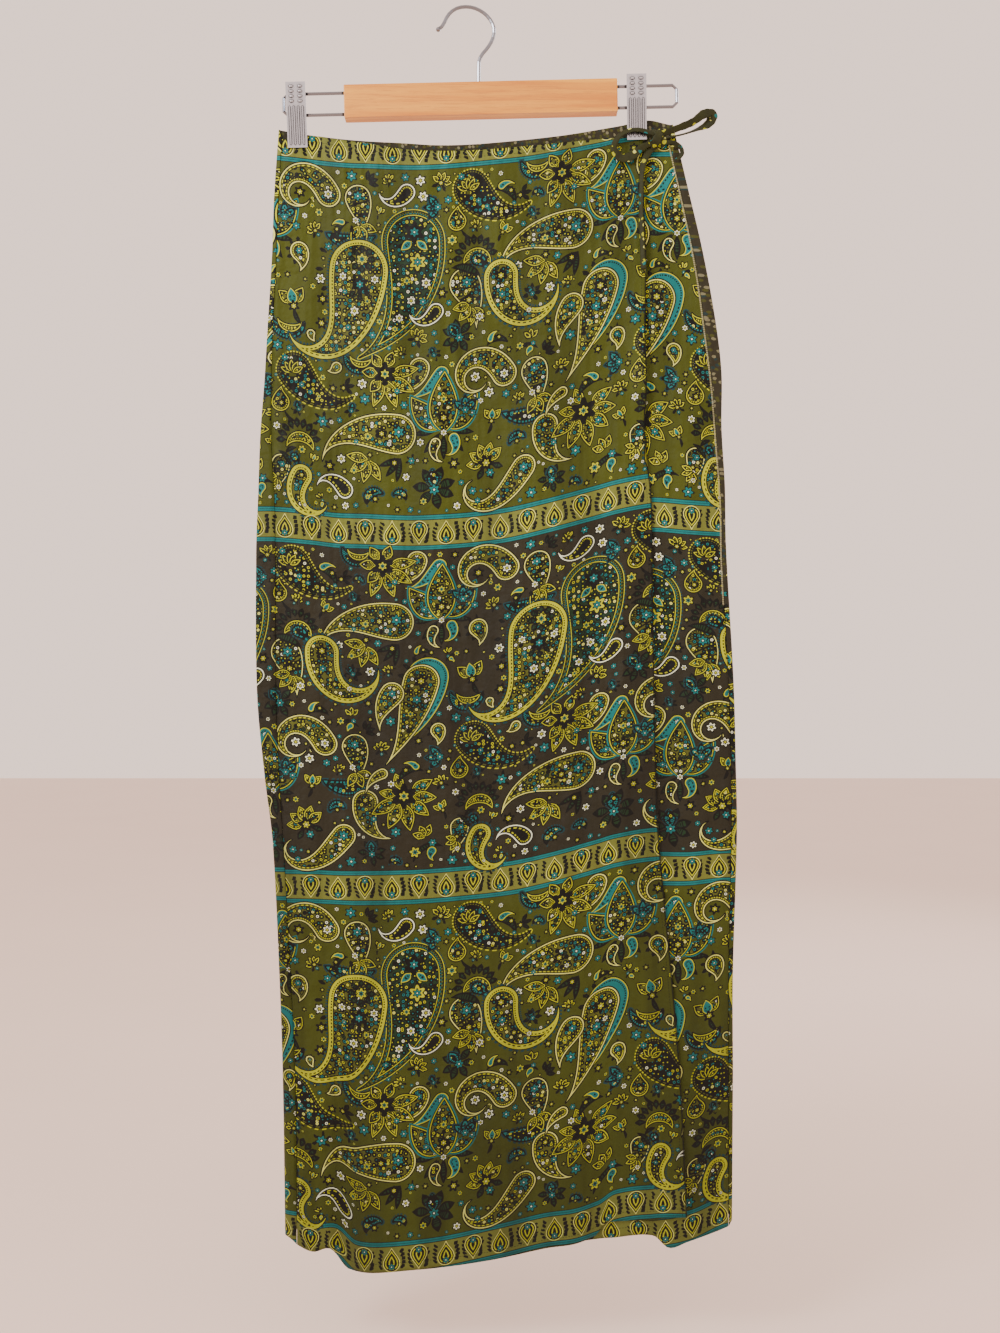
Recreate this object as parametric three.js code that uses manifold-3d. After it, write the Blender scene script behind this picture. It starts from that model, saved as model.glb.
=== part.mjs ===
// A wrap maxi skirt hung flat by two spring clips on a wooden trouser hanger.
// Millimetres, +Z up, the front faces -Y. The origin is the inside top of the hanger's hook.

import * as THREE from "three";
import { mergeVertices } from "three/addons/utils/BufferGeometryUtils.js";
import Module from "manifold-3d";

const wasm = await Module();
wasm.setup();

// ---------------------------------------------------------------- driving sizes

const CLOTH = 1.2;            // cloth wall
const GAP = 0.3;              // clearance where two pieces meet
const LAYER_EASE = 0.7;       // more room between the front layers where the skirt hangs open
const ROWS = 23;              // bands of cloth from waist to hem
const ROW_CROWDING = 1.2;     // above 1 the bands are closer together at the waist
const OVER_COLUMNS = 18;      // left seam to wrap edge
const SIDE_COLUMNS = 4;       // wrap edge to right seam
const UNDER_FIRST_COLUMN = 4; // hidden free edge of the under panel
const STRIP_COLUMNS = 3;      // side turn, from the front seam to the side fold
const TURN_COLUMNS = 4;       // side turn, from the side fold on to the back
const TURN_REACH = 16;        // width of a side turn on the back
const BACK_COLUMNS = 14;      // back panel, side turn to side turn

const WAIST_LEVEL = -119;
const HEM_LEVEL = -1150;
const PINCHED_DEPTH = 2.1;    // half the pile of cloth between the clip jaws
const WAIST_BULGE = { front: 4.4, back: 2.4, flat: 15, reach: 80 };
const PINCH_ENDS = { top: -136, bottom: -345 };
const FULLNESS = { front: 13, back: 8 };      // added half depth at the hem
const CORNER_POWER = { pinched: 10, open: 7 };

const FOLD_OPEN_BELOW = -1150; // a fold that ends lower than this runs out through the hem

const BAR = { length: 256, height: 30.5, depth: 14, centre: [15, 0, -84.5], bevel: 0.8 };
const TILT = THREE.MathUtils.degToRad(1.35);  // the right end hangs higher
const WIRE = 1.6;             // radius of the rods
const ROD_SPACING = 20;
const ROD_IN_BAR = 16;
const ROD_REACH = { left: 57, right: 56 };    // past each end of the bar
const ROD_CORNER = 3.4;
const HOOK_WIRE = 1.75;
const HOOK_SOCKET = { sunk: 5, depth: 22 };   // hole in the bar's top, centred this far down
const CLIP = { width: 18.4, height: 59, aboveRods: 17.5, sheet: 1, flare: 8.6, backFlare: 0.75 };
const RIB = { count: 4, spacing: 0.22, radius: 0.9, proud: 0.3, from: 3, to: 37 };
const BUMP = { rows: 4, spacing: 0.22, first: 41.5, pitch: 4.4, proud: 0.4, radius: [2.6, 0.9, 1.4] };
const EAR = { reach: 3.4, overRod: 4.2, frontInset: 1.2, spacing: 1.35, topSlope: 3, footSlope: 1 };
const CLIP_AT = { left: -157.5, right: 160.5 };
const SPRING = { length: 10.4, coils: 6, core: 0.9, crest: 1.7 };

// Outline of the skirt by height.
const OUTLINE = [
  { z: -109, left: -174, leftSeam: -171, wrap: 168, rightSeam: 190, right: 193 },
  { z: -181, left: -179, leftSeam: -175, wrap: 168, rightSeam: 206, right: 210 },
  { z: -237, left: -181, leftSeam: -177, wrap: 170, rightSeam: 217, right: 223 },
  { z: -302, left: -185, leftSeam: -180, wrap: 169, rightSeam: 226, right: 235 },
  { z: -353, left: -188, leftSeam: -181, wrap: 170, rightSeam: 232, right: 241 },
  { z: -405, left: -192, leftSeam: -181, wrap: 168.5, rightSeam: 236, right: 241 },
  { z: -460, left: -194, leftSeam: -178, wrap: 174.5, rightSeam: 240, right: 244 },
  { z: -516, left: -196, leftSeam: -177, wrap: 175.5, rightSeam: 241, right: 245 },
  { z: -646, left: -195, leftSeam: -176, wrap: 177, rightSeam: 247, right: 252 },
  { z: -721, left: -188, leftSeam: -173, wrap: 178.5, rightSeam: 249, right: 254 },
  { z: -786, left: -180, leftSeam: -169, wrap: 181, rightSeam: 249, right: 255 },
  { z: -925, left: -173, leftSeam: -161, wrap: 193.5, rightSeam: 246, right: 251 },
  { z: -1018, left: -170, leftSeam: -157, wrap: 201, rightSeam: 246, right: 251 },
  { z: -1150, left: -168, leftSeam: -156, wrap: 206.5, rightSeam: 246, right: 250 },
];

// Heights of the top edges across the waist.
const WAIST = [
  { x: -174, front: -121.8, back: -112 },
  { x: -143, front: -118.5, back: -117 },
  { x: -110, front: -123.7, back: -120.4 },
  { x: -60, front: -132, back: -123 },
  { x: -25, front: -134, back: -125 },
  { x: 15, front: -133, back: -123.7 },
  { x: 89, front: -126.5, back: -116.3 },
  { x: 145, front: -120, back: -108 },
  { x: 171, front: -121.8, back: -102.6 },
  { x: 193, front: -126, back: -107 },
];

// Heights of the hem of each layer.
const HEM = [
  { x: -168, over: -1147, under: -1142, back: -1146 },
  { x: -142, over: -1160, under: -1150, back: -1150 },
  { x: -125, over: -1158, under: -1154, back: -1152 },
  { x: -108, over: -1176, under: -1158, back: -1160 },
  { x: -40, over: -1176, under: -1164, back: -1164 },
  { x: 21, over: -1168, under: -1160, back: -1160 },
  { x: 73, over: -1157, under: -1152, back: -1150 },
  { x: 122, over: -1146, under: -1150, back: -1140 },
  { x: 131, over: -1134, under: -1149, back: -1138 },
  { x: 175, over: -1130, under: -1145, back: -1136 },
  { x: 190, over: -1128, under: -1157, back: -1136 },
  { x: 207, over: -1127, under: -1152, back: -1134 },
  { x: 249, over: -1125, under: -1136, back: -1132 },
];

// Folds: x where the fold starts and ends, from and to in height, height above the plain surface.
const FRONT_FOLDS = [
  { xTop: -33, xEnd: -28, top: -300, end: -560, width: 24, rise: 3 },
  { xTop: 8, xEnd: 14, top: -240, end: -620, width: 30, rise: -2.5 },
  { xTop: 60, xEnd: 66, top: -540, end: -1120, width: 40, rise: 3 },
  { xTop: 128, xEnd: 124, top: -760, end: -1190, width: 15, rise: -4 },
  { xTop: 104, xEnd: 99, top: -820, end: -1190, width: 16, rise: 2.5 },
  { xTop: -112, xEnd: -118, top: -1000, end: -1200, width: 13, rise: -4 },
  { xTop: -84, xEnd: -92, top: -880, end: -1200, width: 18, rise: 2.5 },
  { xTop: -120, xEnd: -126, top: -330, end: -760, width: 28, rise: -2.5 },
  { xTop: 205, xEnd: 214, top: -240, end: -900, width: 14, rise: 1.5 },
];

const BACK_FOLDS = [
  { xTop: -96, xEnd: -110, top: -300, end: -900, width: 26, rise: 2 },
  { xTop: -30, xEnd: -22, top: -420, end: -1180, width: 30, rise: -2.5 },
  { xTop: 44, xEnd: 56, top: -260, end: -820, width: 28, rise: 2 },
  { xTop: 112, xEnd: 128, top: -560, end: -1190, width: 24, rise: -3 },
  { xTop: 178, xEnd: 190, top: -380, end: -1000, width: 22, rise: 1.5 },
];

// The free edge of the over panel stands off in a few places.
const EDGE_LIFTS = [
  { z: -205, length: 45, reach: 30, rise: 1.5 },
  { z: -350, length: 50, reach: 34, rise: 6 },
  { z: -640, length: 120, reach: 40, rise: 1.5 },
  { z: -1120, length: 70, reach: 40, rise: 3 },
];

// Straps of the tie: x, y and z of the middle line, width of the cloth, and roll in degrees,
// 0 facing the front and 90 edge-on.
const KNOT = { at: [180, -6.4, -123.5], radius: [8.5, 4.4, 7] };
const STRAP = 1.6;
const LOOP_LEFT = [
  { x: 178, y: -8.6, z: -119, width: 5, roll: 20 },
  { x: 162, y: -10, z: -115.5, width: 5, roll: 25 },
  { x: 149, y: -9, z: -117.5, width: 5, roll: 25 },
  { x: 141, y: -7.6, z: -125.5, width: 5.5, roll: 10 },
  { x: 140, y: -6.6, z: -134, width: 6.5, roll: 0 },
  { x: 147, y: -6.2, z: -140.5, width: 8, roll: 0 },
  { x: 157, y: -6.8, z: -138.5, width: 8, roll: 0 },
  { x: 166, y: -7.6, z: -131, width: 6, roll: 10 },
  { x: 179, y: -8, z: -125.5, width: 5, roll: 20 },
];
const LOOP_RIGHT = [
  { x: 182, y: -8, z: -119.5, width: 5.5, roll: 20 },
  { x: 196, y: -9.6, z: -115, width: 6.5, roll: 35 },
  { x: 212, y: -11, z: -109, width: 7, roll: 30 },
  { x: 223, y: -11.5, z: -101.5, width: 8, roll: 10 },
  { x: 231, y: -9.5, z: -101, width: 9, roll: 0 },
  { x: 228, y: -6.5, z: -108.5, width: 9, roll: 15 },
  { x: 216, y: -4.8, z: -114, width: 6, roll: 50 },
  { x: 202, y: -4.8, z: -118.5, width: 5, roll: 60 },
  { x: 183, y: -6, z: -122.5, width: 4.5, roll: 40 },
];
const LOOP_SMALL = [
  { x: 183, y: -7.6, z: -127, width: 4, roll: 10 },
  { x: 194, y: -8.4, z: -127, width: 4, roll: 20 },
  { x: 201.5, y: -7.4, z: -131, width: 4, roll: 20 },
  { x: 203, y: -6, z: -137, width: 4, roll: 20 },
  { x: 198, y: -5, z: -142, width: 3.6, roll: 10 },
];
const TAIL = [
  { x: 179, y: -5.4, z: -127, width: 7, roll: 0 },
  { x: 171, y: -4.8, z: -136, width: 7, roll: 5 },
  { x: 166.2, y: -4.8, z: -150, width: 5.5, roll: 20 },
  { x: 165, y: -5.6, z: -172, width: 4.6, roll: 30 },
  { x: 164.8, y: -7.4, z: -198, width: 4.6, roll: 30 },
  { x: 165.6, y: -9.4, z: -224, width: 4.6, roll: 25 },
  { x: 166.6, y: -11.2, z: -246, width: 5, roll: 15 },
];

// The hook's wire, from its ball end over the top and down into the bar, in x and z.
const HOOK = [
  { x: -25, z: -19.5 }, { x: -20.5, z: -15.5 }, { x: -18.3, z: -10.5 }, { x: -14, z: -4 },
  { x: -7.5, z: 0.4 }, { x: 0, z: 1.8 }, { x: 8, z: 0.9 }, { x: 17, z: -3.4 },
  { x: 24, z: -10.5 }, { x: 27.4, z: -19 }, { x: 26.2, z: -28 }, { x: 21.5, z: -36.5 },
  { x: 16.5, z: -42.5 }, { x: 13.4, z: -48.5 }, { x: 13, z: -57 }, { x: 13, z: -86 },
];
const HOOK_BALL = 2.3;

const COLOUR = {
  cloth: 0x6c6716, clothUnder: 0x66611a, clothBack: 0x5c5520, tie: 0x35331f,
  wood: 0xd9a066, steel: 0xb9b7b4,
};

// ---------------------------------------------------------------- small helpers

const mix = (a, b, t) => a + (b - a) * t;
const clamp01 = (t) => Math.min(1, Math.max(0, t));
const smooth = (from, to, at) => {
  const t = clamp01((at - from) / (to - from));
  return t * t * (3 - 2 * t);
};

// Reads one column of a table at any key, on a smooth curve through its rows.
function read(table, key, column, at) {
  const rising = table[table.length - 1][key] > table[0][key];
  const found = table.findIndex((row) => (rising ? row[key] >= at : row[key] <= at));
  const upper = found < 0 ? table.length - 1 : Math.max(1, found);
  const row = (i) => table[Math.min(table.length - 1, Math.max(0, i))];
  const [before, low, high, after] = [row(upper - 2), row(upper - 1), row(upper), row(upper + 1)];
  const span = high[key] - low[key];
  const slope = (p, q) => (p === q ? 0 : (q[column] - p[column]) / (q[key] - p[key]));
  const inSlope = slope(before, high) * span;
  const outSlope = slope(low, after) * span;
  const t = clamp01((at - low[key]) / span);
  const rise = t * t * (3 - 2 * t);
  const ease = t * (1 - t);
  return mix(low[column], high[column], rise) + ease * ((1 - t) * inSlope - t * outSlope);
}

function foldHeight(folds, x, z) {
  let height = 0;
  for (const fold of folds) {
    const along = clamp01((z - fold.top) / (fold.end - fold.top));
    const fade = Math.sin(Math.PI * Math.min(along, fold.end < FOLD_OPEN_BELOW ? 0.5 : 1));
    const middle = mix(fold.xTop, fold.xEnd, along);
    height += fold.rise * fade * Math.exp(-(((x - middle) / fold.width) ** 2));
  }
  return height;
}

// A closed wall between two point grids of the same size, outer[row][column] and inner.
function wall(outer, inner) {
  const rows = outer.length;
  const columns = outer[0].length;
  const positions = [...outer.flat(), ...inner.flat()].flat();
  const outside = (r, c) => r * columns + c;
  const inside = (r, c) => rows * columns + r * columns + c;
  const faces = [];
  const quad = (a, b, c, d) => faces.push(a, b, c, a, c, d);
  for (let r = 0; r < rows - 1; r += 1) {
    for (let c = 0; c < columns - 1; c += 1) {
      quad(outside(r, c), outside(r + 1, c), outside(r + 1, c + 1), outside(r, c + 1));
      quad(inside(r, c), inside(r, c + 1), inside(r + 1, c + 1), inside(r + 1, c));
    }
    quad(outside(r, 0), inside(r, 0), inside(r + 1, 0), outside(r + 1, 0));
    const last = columns - 1;
    quad(outside(r, last), outside(r + 1, last), inside(r + 1, last), inside(r, last));
  }
  for (let c = 0; c < columns - 1; c += 1) {
    const last = rows - 1;
    quad(outside(0, c), outside(0, c + 1), inside(0, c + 1), inside(0, c));
    quad(outside(last, c), inside(last, c), inside(last, c + 1), outside(last, c + 1));
  }
  const geometry = new THREE.BufferGeometry();
  geometry.setAttribute("position", new THREE.Float32BufferAttribute(positions, 3));
  geometry.setIndex(faces);
  return geometry;
}

function toSolid(geometry) {
  const bare = geometry.clone();
  bare.deleteAttribute("normal");
  bare.deleteAttribute("uv");
  const merged = mergeVertices(bare, 1e-4);
  return new wasm.Manifold(new wasm.Mesh({
    numProp: 3,
    vertProperties: new Float32Array(merged.attributes.position.array),
    triVerts: new Uint32Array(merged.index.array),
  }));
}

function fromSolid(solid) {
  const mesh = solid.getMesh();
  const geometry = new THREE.BufferGeometry();
  geometry.setAttribute("position", new THREE.BufferAttribute(mesh.vertProperties, 3));
  geometry.setIndex(new THREE.BufferAttribute(mesh.triVerts, 1));
  return geometry;
}

const cut = (body, ...tools) => tools.reduce((rest, tool) => rest.subtract(toSolid(tool)), body);
const join = (...pieces) => pieces.reduce((whole, piece) => whole.add(piece));

function material(colour, roughness, metalness = 0) {
  return new THREE.MeshStandardMaterial({ color: colour, roughness, metalness });
}

const skirtOnHanger = new THREE.Group();

function place(name, geometry, look, parent = skirtOnHanger) {
  const mesh = new THREE.Mesh(geometry, look);
  mesh.name = name;
  parent.add(mesh);
  return mesh;
}

// ---------------------------------------------------------------- the cloth panels

// 0 where the jaws pinch the waist, 1 where the skirt hangs open.
const openness = (z) => smooth(PINCH_ENDS.top, PINCH_ENDS.bottom, z);

// Half depth of the skirt in front of or behind its middle plane. It grows evenly to the hem.
function halfDepth(side, x, z) {
  const nearest = Math.min(Math.abs(x - CLIP_AT.left), Math.abs(x - CLIP_AT.right));
  const between = x > CLIP_AT.left && x < CLIP_AT.right ? 1 : 0;
  const bulge = WAIST_BULGE[side] * between * smooth(WAIST_BULGE.flat, WAIST_BULGE.reach, nearest);
  const down = clamp01((z - PINCH_ENDS.top) / (HEM_LEVEL - PINCH_ENDS.top));
  const folds = foldHeight(side === "front" ? FRONT_FOLDS : BACK_FOLDS, x, z);
  return PINCHED_DEPTH + mix(bulge, FULLNESS[side], down) + folds * openness(z);
}

// Depth left at x when the tube rounds off towards its side folds.
function sideRounding(x, z, level, inset) {
  const left = read(OUTLINE, "z", "left", level) + inset;
  const right = read(OUTLINE, "z", "right", level) - inset;
  const power = mix(CORNER_POWER.pinched, CORNER_POWER.open, openness(z));
  const share = Math.min(1, Math.abs(x - (left + right) / 2) / ((right - left) / 2));
  return (1 - share ** power) ** (1 / power);
}

const frontSurface = (x, z, level) => -halfDepth("front", x, z) * sideRounding(x, z, level, 0);

const rowShare = (row) => (row / ROWS) ** ROW_CROWDING;
const rowLevel = (row) => mix(WAIST_LEVEL, HEM_LEVEL, rowShare(row));

function heightAt(row, x, waistColumn, hemColumn) {
  const top = read(WAIST, "x", waistColumn, x);
  const bottom = read(HEM, "x", hemColumn, x);
  return mix(top, bottom, rowShare(row));
}

// The front panels share these columns, so the under panel is the over panel's form, moved in.
function frontColumn(column, level) {
  const leftSeam = read(OUTLINE, "z", "leftSeam", level) + GAP / 2;
  const wrap = read(OUTLINE, "z", "wrap", level);
  const rightSeam = read(OUTLINE, "z", "rightSeam", level) - GAP / 2;
  if (column <= OVER_COLUMNS) return mix(leftSeam, wrap, column / OVER_COLUMNS);
  return mix(wrap, rightSeam, (column - OVER_COLUMNS) / SIDE_COLUMNS);
}

function edgeLift(x, z, wrap) {
  let lift = 0;
  for (const row of EDGE_LIFTS) {
    const near = clamp01(1 - (wrap - x) / row.reach) ** 2;
    lift += row.rise * near * Math.exp(-(((z - row.z) / row.length) ** 2));
  }
  return lift;
}

function frontPanel(firstColumn, lastColumn, hemColumn, shift) {
  const outer = [];
  const inner = [];
  for (let row = 0; row <= ROWS; row += 1) {
    const level = rowLevel(row);
    outer.push([]);
    inner.push([]);
    for (let column = firstColumn; column <= lastColumn; column += 1) {
      const x = frontColumn(column, level);
      const z = heightAt(row, x, "front", hemColumn);
      const y = frontSurface(x, z, level) + shift(column, x, z, level);
      outer[row].push([x, y, z]);
      inner[row].push([x, y + CLOTH, z]);
    }
  }
  return wall(outer, inner);
}

const overShift = (column, x, z, level) => -edgeLift(x, z, read(OUTLINE, "z", "wrap", level));

// Behind the over panel the under panel lies one cloth and a gap further in, and it comes
// forward to the seam past the wrap edge.
function underShift(column, x, z) {
  const past = clamp01((column - OVER_COLUMNS) / SIDE_COLUMNS);
  return (CLOTH + GAP + LAYER_EASE * openness(z)) * (1 - past);
}

// The back wraps round both side folds to a seam on the front. Its side turns are pieces of
// their own, so that each stretch is nearly flat or a plain fold.
function backPiece(section) {
  const outer = [];
  const inner = [];
  for (let row = 0; row <= ROWS; row += 1) {
    outer.push(section(row, 0));
    inner.push(section(row, CLOTH));
  }
  return wall(outer, inner);
}

// A point of the back at x. strip is 0 at the front seam and 1 from the side fold on.
function backPoint(row, inset, x, side, hem, strip) {
  const z = mix(heightAt(row, x, "front", hem), heightAt(row, x, "back", "back"), strip);
  const depth = (halfDepth(side, x, z) - inset) * sideRounding(x, z, rowLevel(row), inset);
  return [x, side === "front" ? -depth : depth, z];
}

// From the front seam round the side fold. The right one runs this way, the left one back.
function sideTurn(fold, hem, inward) {
  return (row, inset) => {
    const level = rowLevel(row);
    const seam = read(OUTLINE, "z", `${fold}Seam`, level) - inward * (GAP / 2);
    const tip = read(OUTLINE, "z", fold, level) + inward * inset;
    const points = [];
    for (let i = 0; i < STRIP_COLUMNS; i += 1) {
      const share = 1 - (1 - i / STRIP_COLUMNS) ** 2;
      points.push(backPoint(row, inset, mix(seam, tip, share), "front", hem, share));
    }
    for (let i = 0; i <= TURN_COLUMNS; i += 1) {
      const reach = (TURN_REACH - inset) * (i / TURN_COLUMNS) ** 2;
      points.push(backPoint(row, inset, tip + inward * reach, "back", "over", 1));
    }
    return inward < 0 ? points : points.reverse();
  };
}

function backSection(row, inset) {
  const level = rowLevel(row);
  const left = read(OUTLINE, "z", "left", level) + TURN_REACH + GAP;
  const right = read(OUTLINE, "z", "right", level) - TURN_REACH - GAP;
  const points = [];
  for (let i = 0; i <= BACK_COLUMNS; i += 1) {
    points.push(backPoint(row, inset, mix(right, left, i / BACK_COLUMNS), "back", "over", 1));
  }
  return points;
}

const lastColumn = OVER_COLUMNS + SIDE_COLUMNS;
const backLook = material(COLOUR.clothBack, 0.75);
place("back_panel", backPiece(backSection), backLook);
place("back_side_left", backPiece(sideTurn("left", "over", 1)), backLook);
place("back_side_right", backPiece(sideTurn("right", "under", -1)), backLook);
place(
  "front_under_panel",
  frontPanel(UNDER_FIRST_COLUMN, lastColumn, "under", underShift),
  material(COLOUR.clothUnder, 0.75),
);
place(
  "front_over_panel",
  frontPanel(0, OVER_COLUMNS, "over", overShift),
  material(COLOUR.cloth, 0.75),
);

// ---------------------------------------------------------------- the tie

// A flat strap swept along its table, with square ends.
function strap(table, stepsPerRow = 3) {
  const path = new THREE.CatmullRomCurve3(table.map((p) => new THREE.Vector3(p.x, p.y, p.z)));
  const steps = (table.length - 1) * stepsPerRow;
  const outer = [];
  const inner = [];
  for (let i = 0; i <= steps; i += 1) {
    const t = i / steps;
    const at = path.getPoint(t);
    const along = path.getTangent(t);
    const row = Math.min(table.length - 2, Math.floor(t * (table.length - 1)));
    const between = t * (table.length - 1) - row;
    const width = mix(table[row].width, table[row + 1].width, between);
    const roll = THREE.MathUtils.degToRad(mix(table[row].roll, table[row + 1].roll, between));
    const side = new THREE.Vector3(along.z, 0, -along.x).normalize();
    const depth = new THREE.Vector3().crossVectors(along, side).normalize();
    const across = side.clone().multiplyScalar(Math.cos(roll)).addScaledVector(depth, Math.sin(roll));
    const normal = new THREE.Vector3().crossVectors(along, across).normalize();
    const corner = (u, v) => at.clone().addScaledVector(across, u).addScaledVector(normal, v).toArray();
    outer.push([corner(-width / 2, STRAP / 2), corner(width / 2, STRAP / 2)]);
    inner.push([corner(-width / 2, -STRAP / 2), corner(width / 2, -STRAP / 2)]);
  }
  return wall(outer, inner);
}

function knot(extra) {
  const geometry = new THREE.SphereGeometry(1, 14, 9);
  geometry.scale(...KNOT.radius.map((r) => r + extra));
  geometry.translate(...KNOT.at);
  return geometry;
}

const tieLook = material(COLOUR.tie, 0.8);
const strapTables = {
  tie_loop_left: LOOP_LEFT,
  tie_loop_right: LOOP_RIGHT,
  tie_loop_small: LOOP_SMALL,
  tie_tail: TAIL,
};
place("tie_knot", fromSolid(toSolid(knot(0))), tieLook);
for (const [name, table] of Object.entries(strapTables)) {
  place(name, fromSolid(cut(toSolid(strap(table)), knot(GAP))), tieLook);
}

// ---------------------------------------------------------------- the hanger

const hanger = new THREE.Group();
hanger.position.set(...BAR.centre);
hanger.rotation.y = -TILT;
skirtOnHanger.add(hanger);

const steel = material(COLOUR.steel, 0.3, 1);

function tube(points, radius, sides = 10, steps = 3) {
  const path = new THREE.CatmullRomCurve3(points.map((p) => new THREE.Vector3(...p)), false, "centripetal");
  const section = new THREE.Shape();
  section.absarc(0, 0, radius, 0, Math.PI * 2);
  return new THREE.ExtrudeGeometry(section, {
    steps: points.length * steps,
    curveSegments: sides,
    bevelEnabled: false,
    extrudePath: path,
  });
}

function rodAlongX(radius, from, to, z, sides = 10) {
  const geometry = new THREE.CylinderGeometry(radius, radius, to - from, sides);
  geometry.rotateZ(Math.PI / 2);
  geometry.translate((from + to) / 2, 0, z);
  return geometry;
}

// Turns an outline drawn in y and z, extruded, so that it runs along X from the given x.
function layAlongX(geometry, from) {
  const [x, y, z] = [new THREE.Vector3(1, 0, 0), new THREE.Vector3(0, 1, 0), new THREE.Vector3(0, 0, 1)];
  geometry.applyMatrix4(new THREE.Matrix4().makeBasis(y, z, x));
  geometry.translate(from, 0, 0);
  return geometry;
}

function polygon(points) {
  return new THREE.Shape(points.map(([u, v]) => new THREE.Vector2(u, v)));
}

// The bar is a bevelled plank with two holes in each end and one for the hook in its top.
function bar() {
  const end = BAR.length / 2;
  const [w, h] = [BAR.depth / 2 - BAR.bevel, BAR.height / 2 - BAR.bevel];
  const plank = new THREE.ExtrudeGeometry(polygon([[-w, -h], [w, -h], [w, h], [-w, h]]), {
    depth: BAR.length - 2 * BAR.bevel,
    bevelThickness: BAR.bevel,
    bevelSize: BAR.bevel,
    bevelSegments: 2,
  });
  layAlongX(plank, BAR.bevel - end);
  const holes = [];
  for (const z of [-ROD_SPACING / 2, ROD_SPACING / 2]) {
    holes.push(rodAlongX(WIRE + GAP, -end - 1, ROD_IN_BAR + 1 - end, z));
    holes.push(rodAlongX(WIRE + GAP, end - ROD_IN_BAR - 1, end + 1, z));
  }
  const level = BAR.height / 2 - HOOK_SOCKET.sunk;
  const socket = new THREE.CylinderGeometry(HOOK_WIRE + GAP, HOOK_WIRE + GAP, HOOK_SOCKET.depth, 12);
  socket.rotateX(Math.PI / 2);
  socket.rotateY(TILT);
  socket.translate(HOOK.at(-1).x - BAR.centre[0] + level * Math.sin(TILT), 0, level);
  return fromSolid(cut(toSolid(plank), ...holes, socket));
}

// Two rods and the round end that joins them, as one bent wire.
function railWire(side, reach) {
  const end = BAR.length / 2;
  const corner = ROD_CORNER;
  const z = ROD_SPACING / 2;
  const tip = end + reach;
  const straight = tip - corner * 2.5;
  const chamfer = corner * (1 - Math.SQRT1_2);
  const upper = [
    [end - ROD_IN_BAR, 0, z], [end, 0, z], [straight, 0, z], [tip - corner, 0, z],
    [tip - chamfer, 0, z - chamfer], [tip, 0, z - corner],
  ];
  const lower = upper.map(([x, y, height]) => [x, y, -height]).reverse();
  const points = [...upper, [tip, 0, 0], ...lower];
  return tube(points.map(([x, y, height]) => [side * x, y, height]), WIRE, 4, 2);
}

function hook() {
  const wire = tube(HOOK.map((p) => [p.x, 0, p.z + HOOK_WIRE]), HOOK_WIRE, 4, 2);
  const ball = new THREE.SphereGeometry(HOOK_BALL, 10, 8);
  ball.translate(HOOK[0].x, 0, HOOK[0].z + HOOK_WIRE);
  return fromSolid(join(toSolid(wire), toSolid(ball)));
}

const wood = material(COLOUR.wood, 0.55);
place("hanger_bar", bar(), wood, hanger);
place("hanger_rail_left", railWire(-1, ROD_REACH.left), steel, hanger);
place("hanger_rail_right", railWire(1, ROD_REACH.right), steel, hanger);
place("hanger_hook", hook(), steel);

// ---------------------------------------------------------------- the clips

// Each leaf is drawn with y outwards, so the back leaf is the front one turned about.
const leafFoot = CLIP.aboveRods - CLIP.height;
const leafY = (z, flare) => PINCHED_DEPTH + GAP + CLIP.sheet / 2 + (flare * (z - leafFoot)) / CLIP.height;

// One leaf of a clip: a sheet from its finger end to its jaw, with ribs and bumps pressed
// outwards and two ears that reach back over the rods.
function clipLeaf(width, flare, earInset) {
  const middle = leafFoot + CLIP.height / 2;
  const sheet = new THREE.BoxGeometry(width, CLIP.sheet, CLIP.height);
  sheet.rotateX(-Math.atan(flare / CLIP.height));
  sheet.translate(0, leafY(middle, flare), middle);
  const pieces = [sheet];
  for (let i = 0; i < RIB.count; i += 1) {
    const x = (i - (RIB.count - 1) / 2) * width * RIB.spacing;
    pieces.push(pressedRib(x, leafFoot + RIB.from, leafFoot + RIB.to, flare));
  }
  for (let row = 0; row < BUMP.rows; row += 1) {
    const z = leafFoot + BUMP.first + row * BUMP.pitch;
    pieces.push(pressedBump(-width * BUMP.spacing, z, flare));
    pieces.push(pressedBump(width * BUMP.spacing, z, flare));
  }
  pieces.push(ear(earInset - width / 2, flare));
  pieces.push(ear(width / 2 - earInset - CLIP.sheet, flare));
  const holes = [];
  for (const z of [-ROD_SPACING / 2, ROD_SPACING / 2]) {
    holes.push(rodAlongX(WIRE + GAP, -CLIP.width, CLIP.width, z));
  }
  return fromSolid(cut(join(...pieces.map(toSolid)), ...holes));
}

function pressedRib(x, from, to, flare) {
  const proud = CLIP.sheet * RIB.proud;
  const path = new THREE.LineCurve3(
    new THREE.Vector3(x, leafY(from, flare) + proud, from),
    new THREE.Vector3(x, leafY(to, flare) + proud, to),
  );
  const section = new THREE.Shape();
  section.absarc(0, 0, RIB.radius, 0, Math.PI * 2);
  return new THREE.ExtrudeGeometry(section, {
    steps: 1,
    curveSegments: 3,
    bevelEnabled: false,
    extrudePath: path,
  });
}

function pressedBump(x, z, flare) {
  const bump = new THREE.SphereGeometry(1, 6, 4);
  bump.scale(...BUMP.radius);
  bump.translate(x, leafY(z, flare) + CLIP.sheet * BUMP.proud, z);
  return bump;
}

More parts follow.
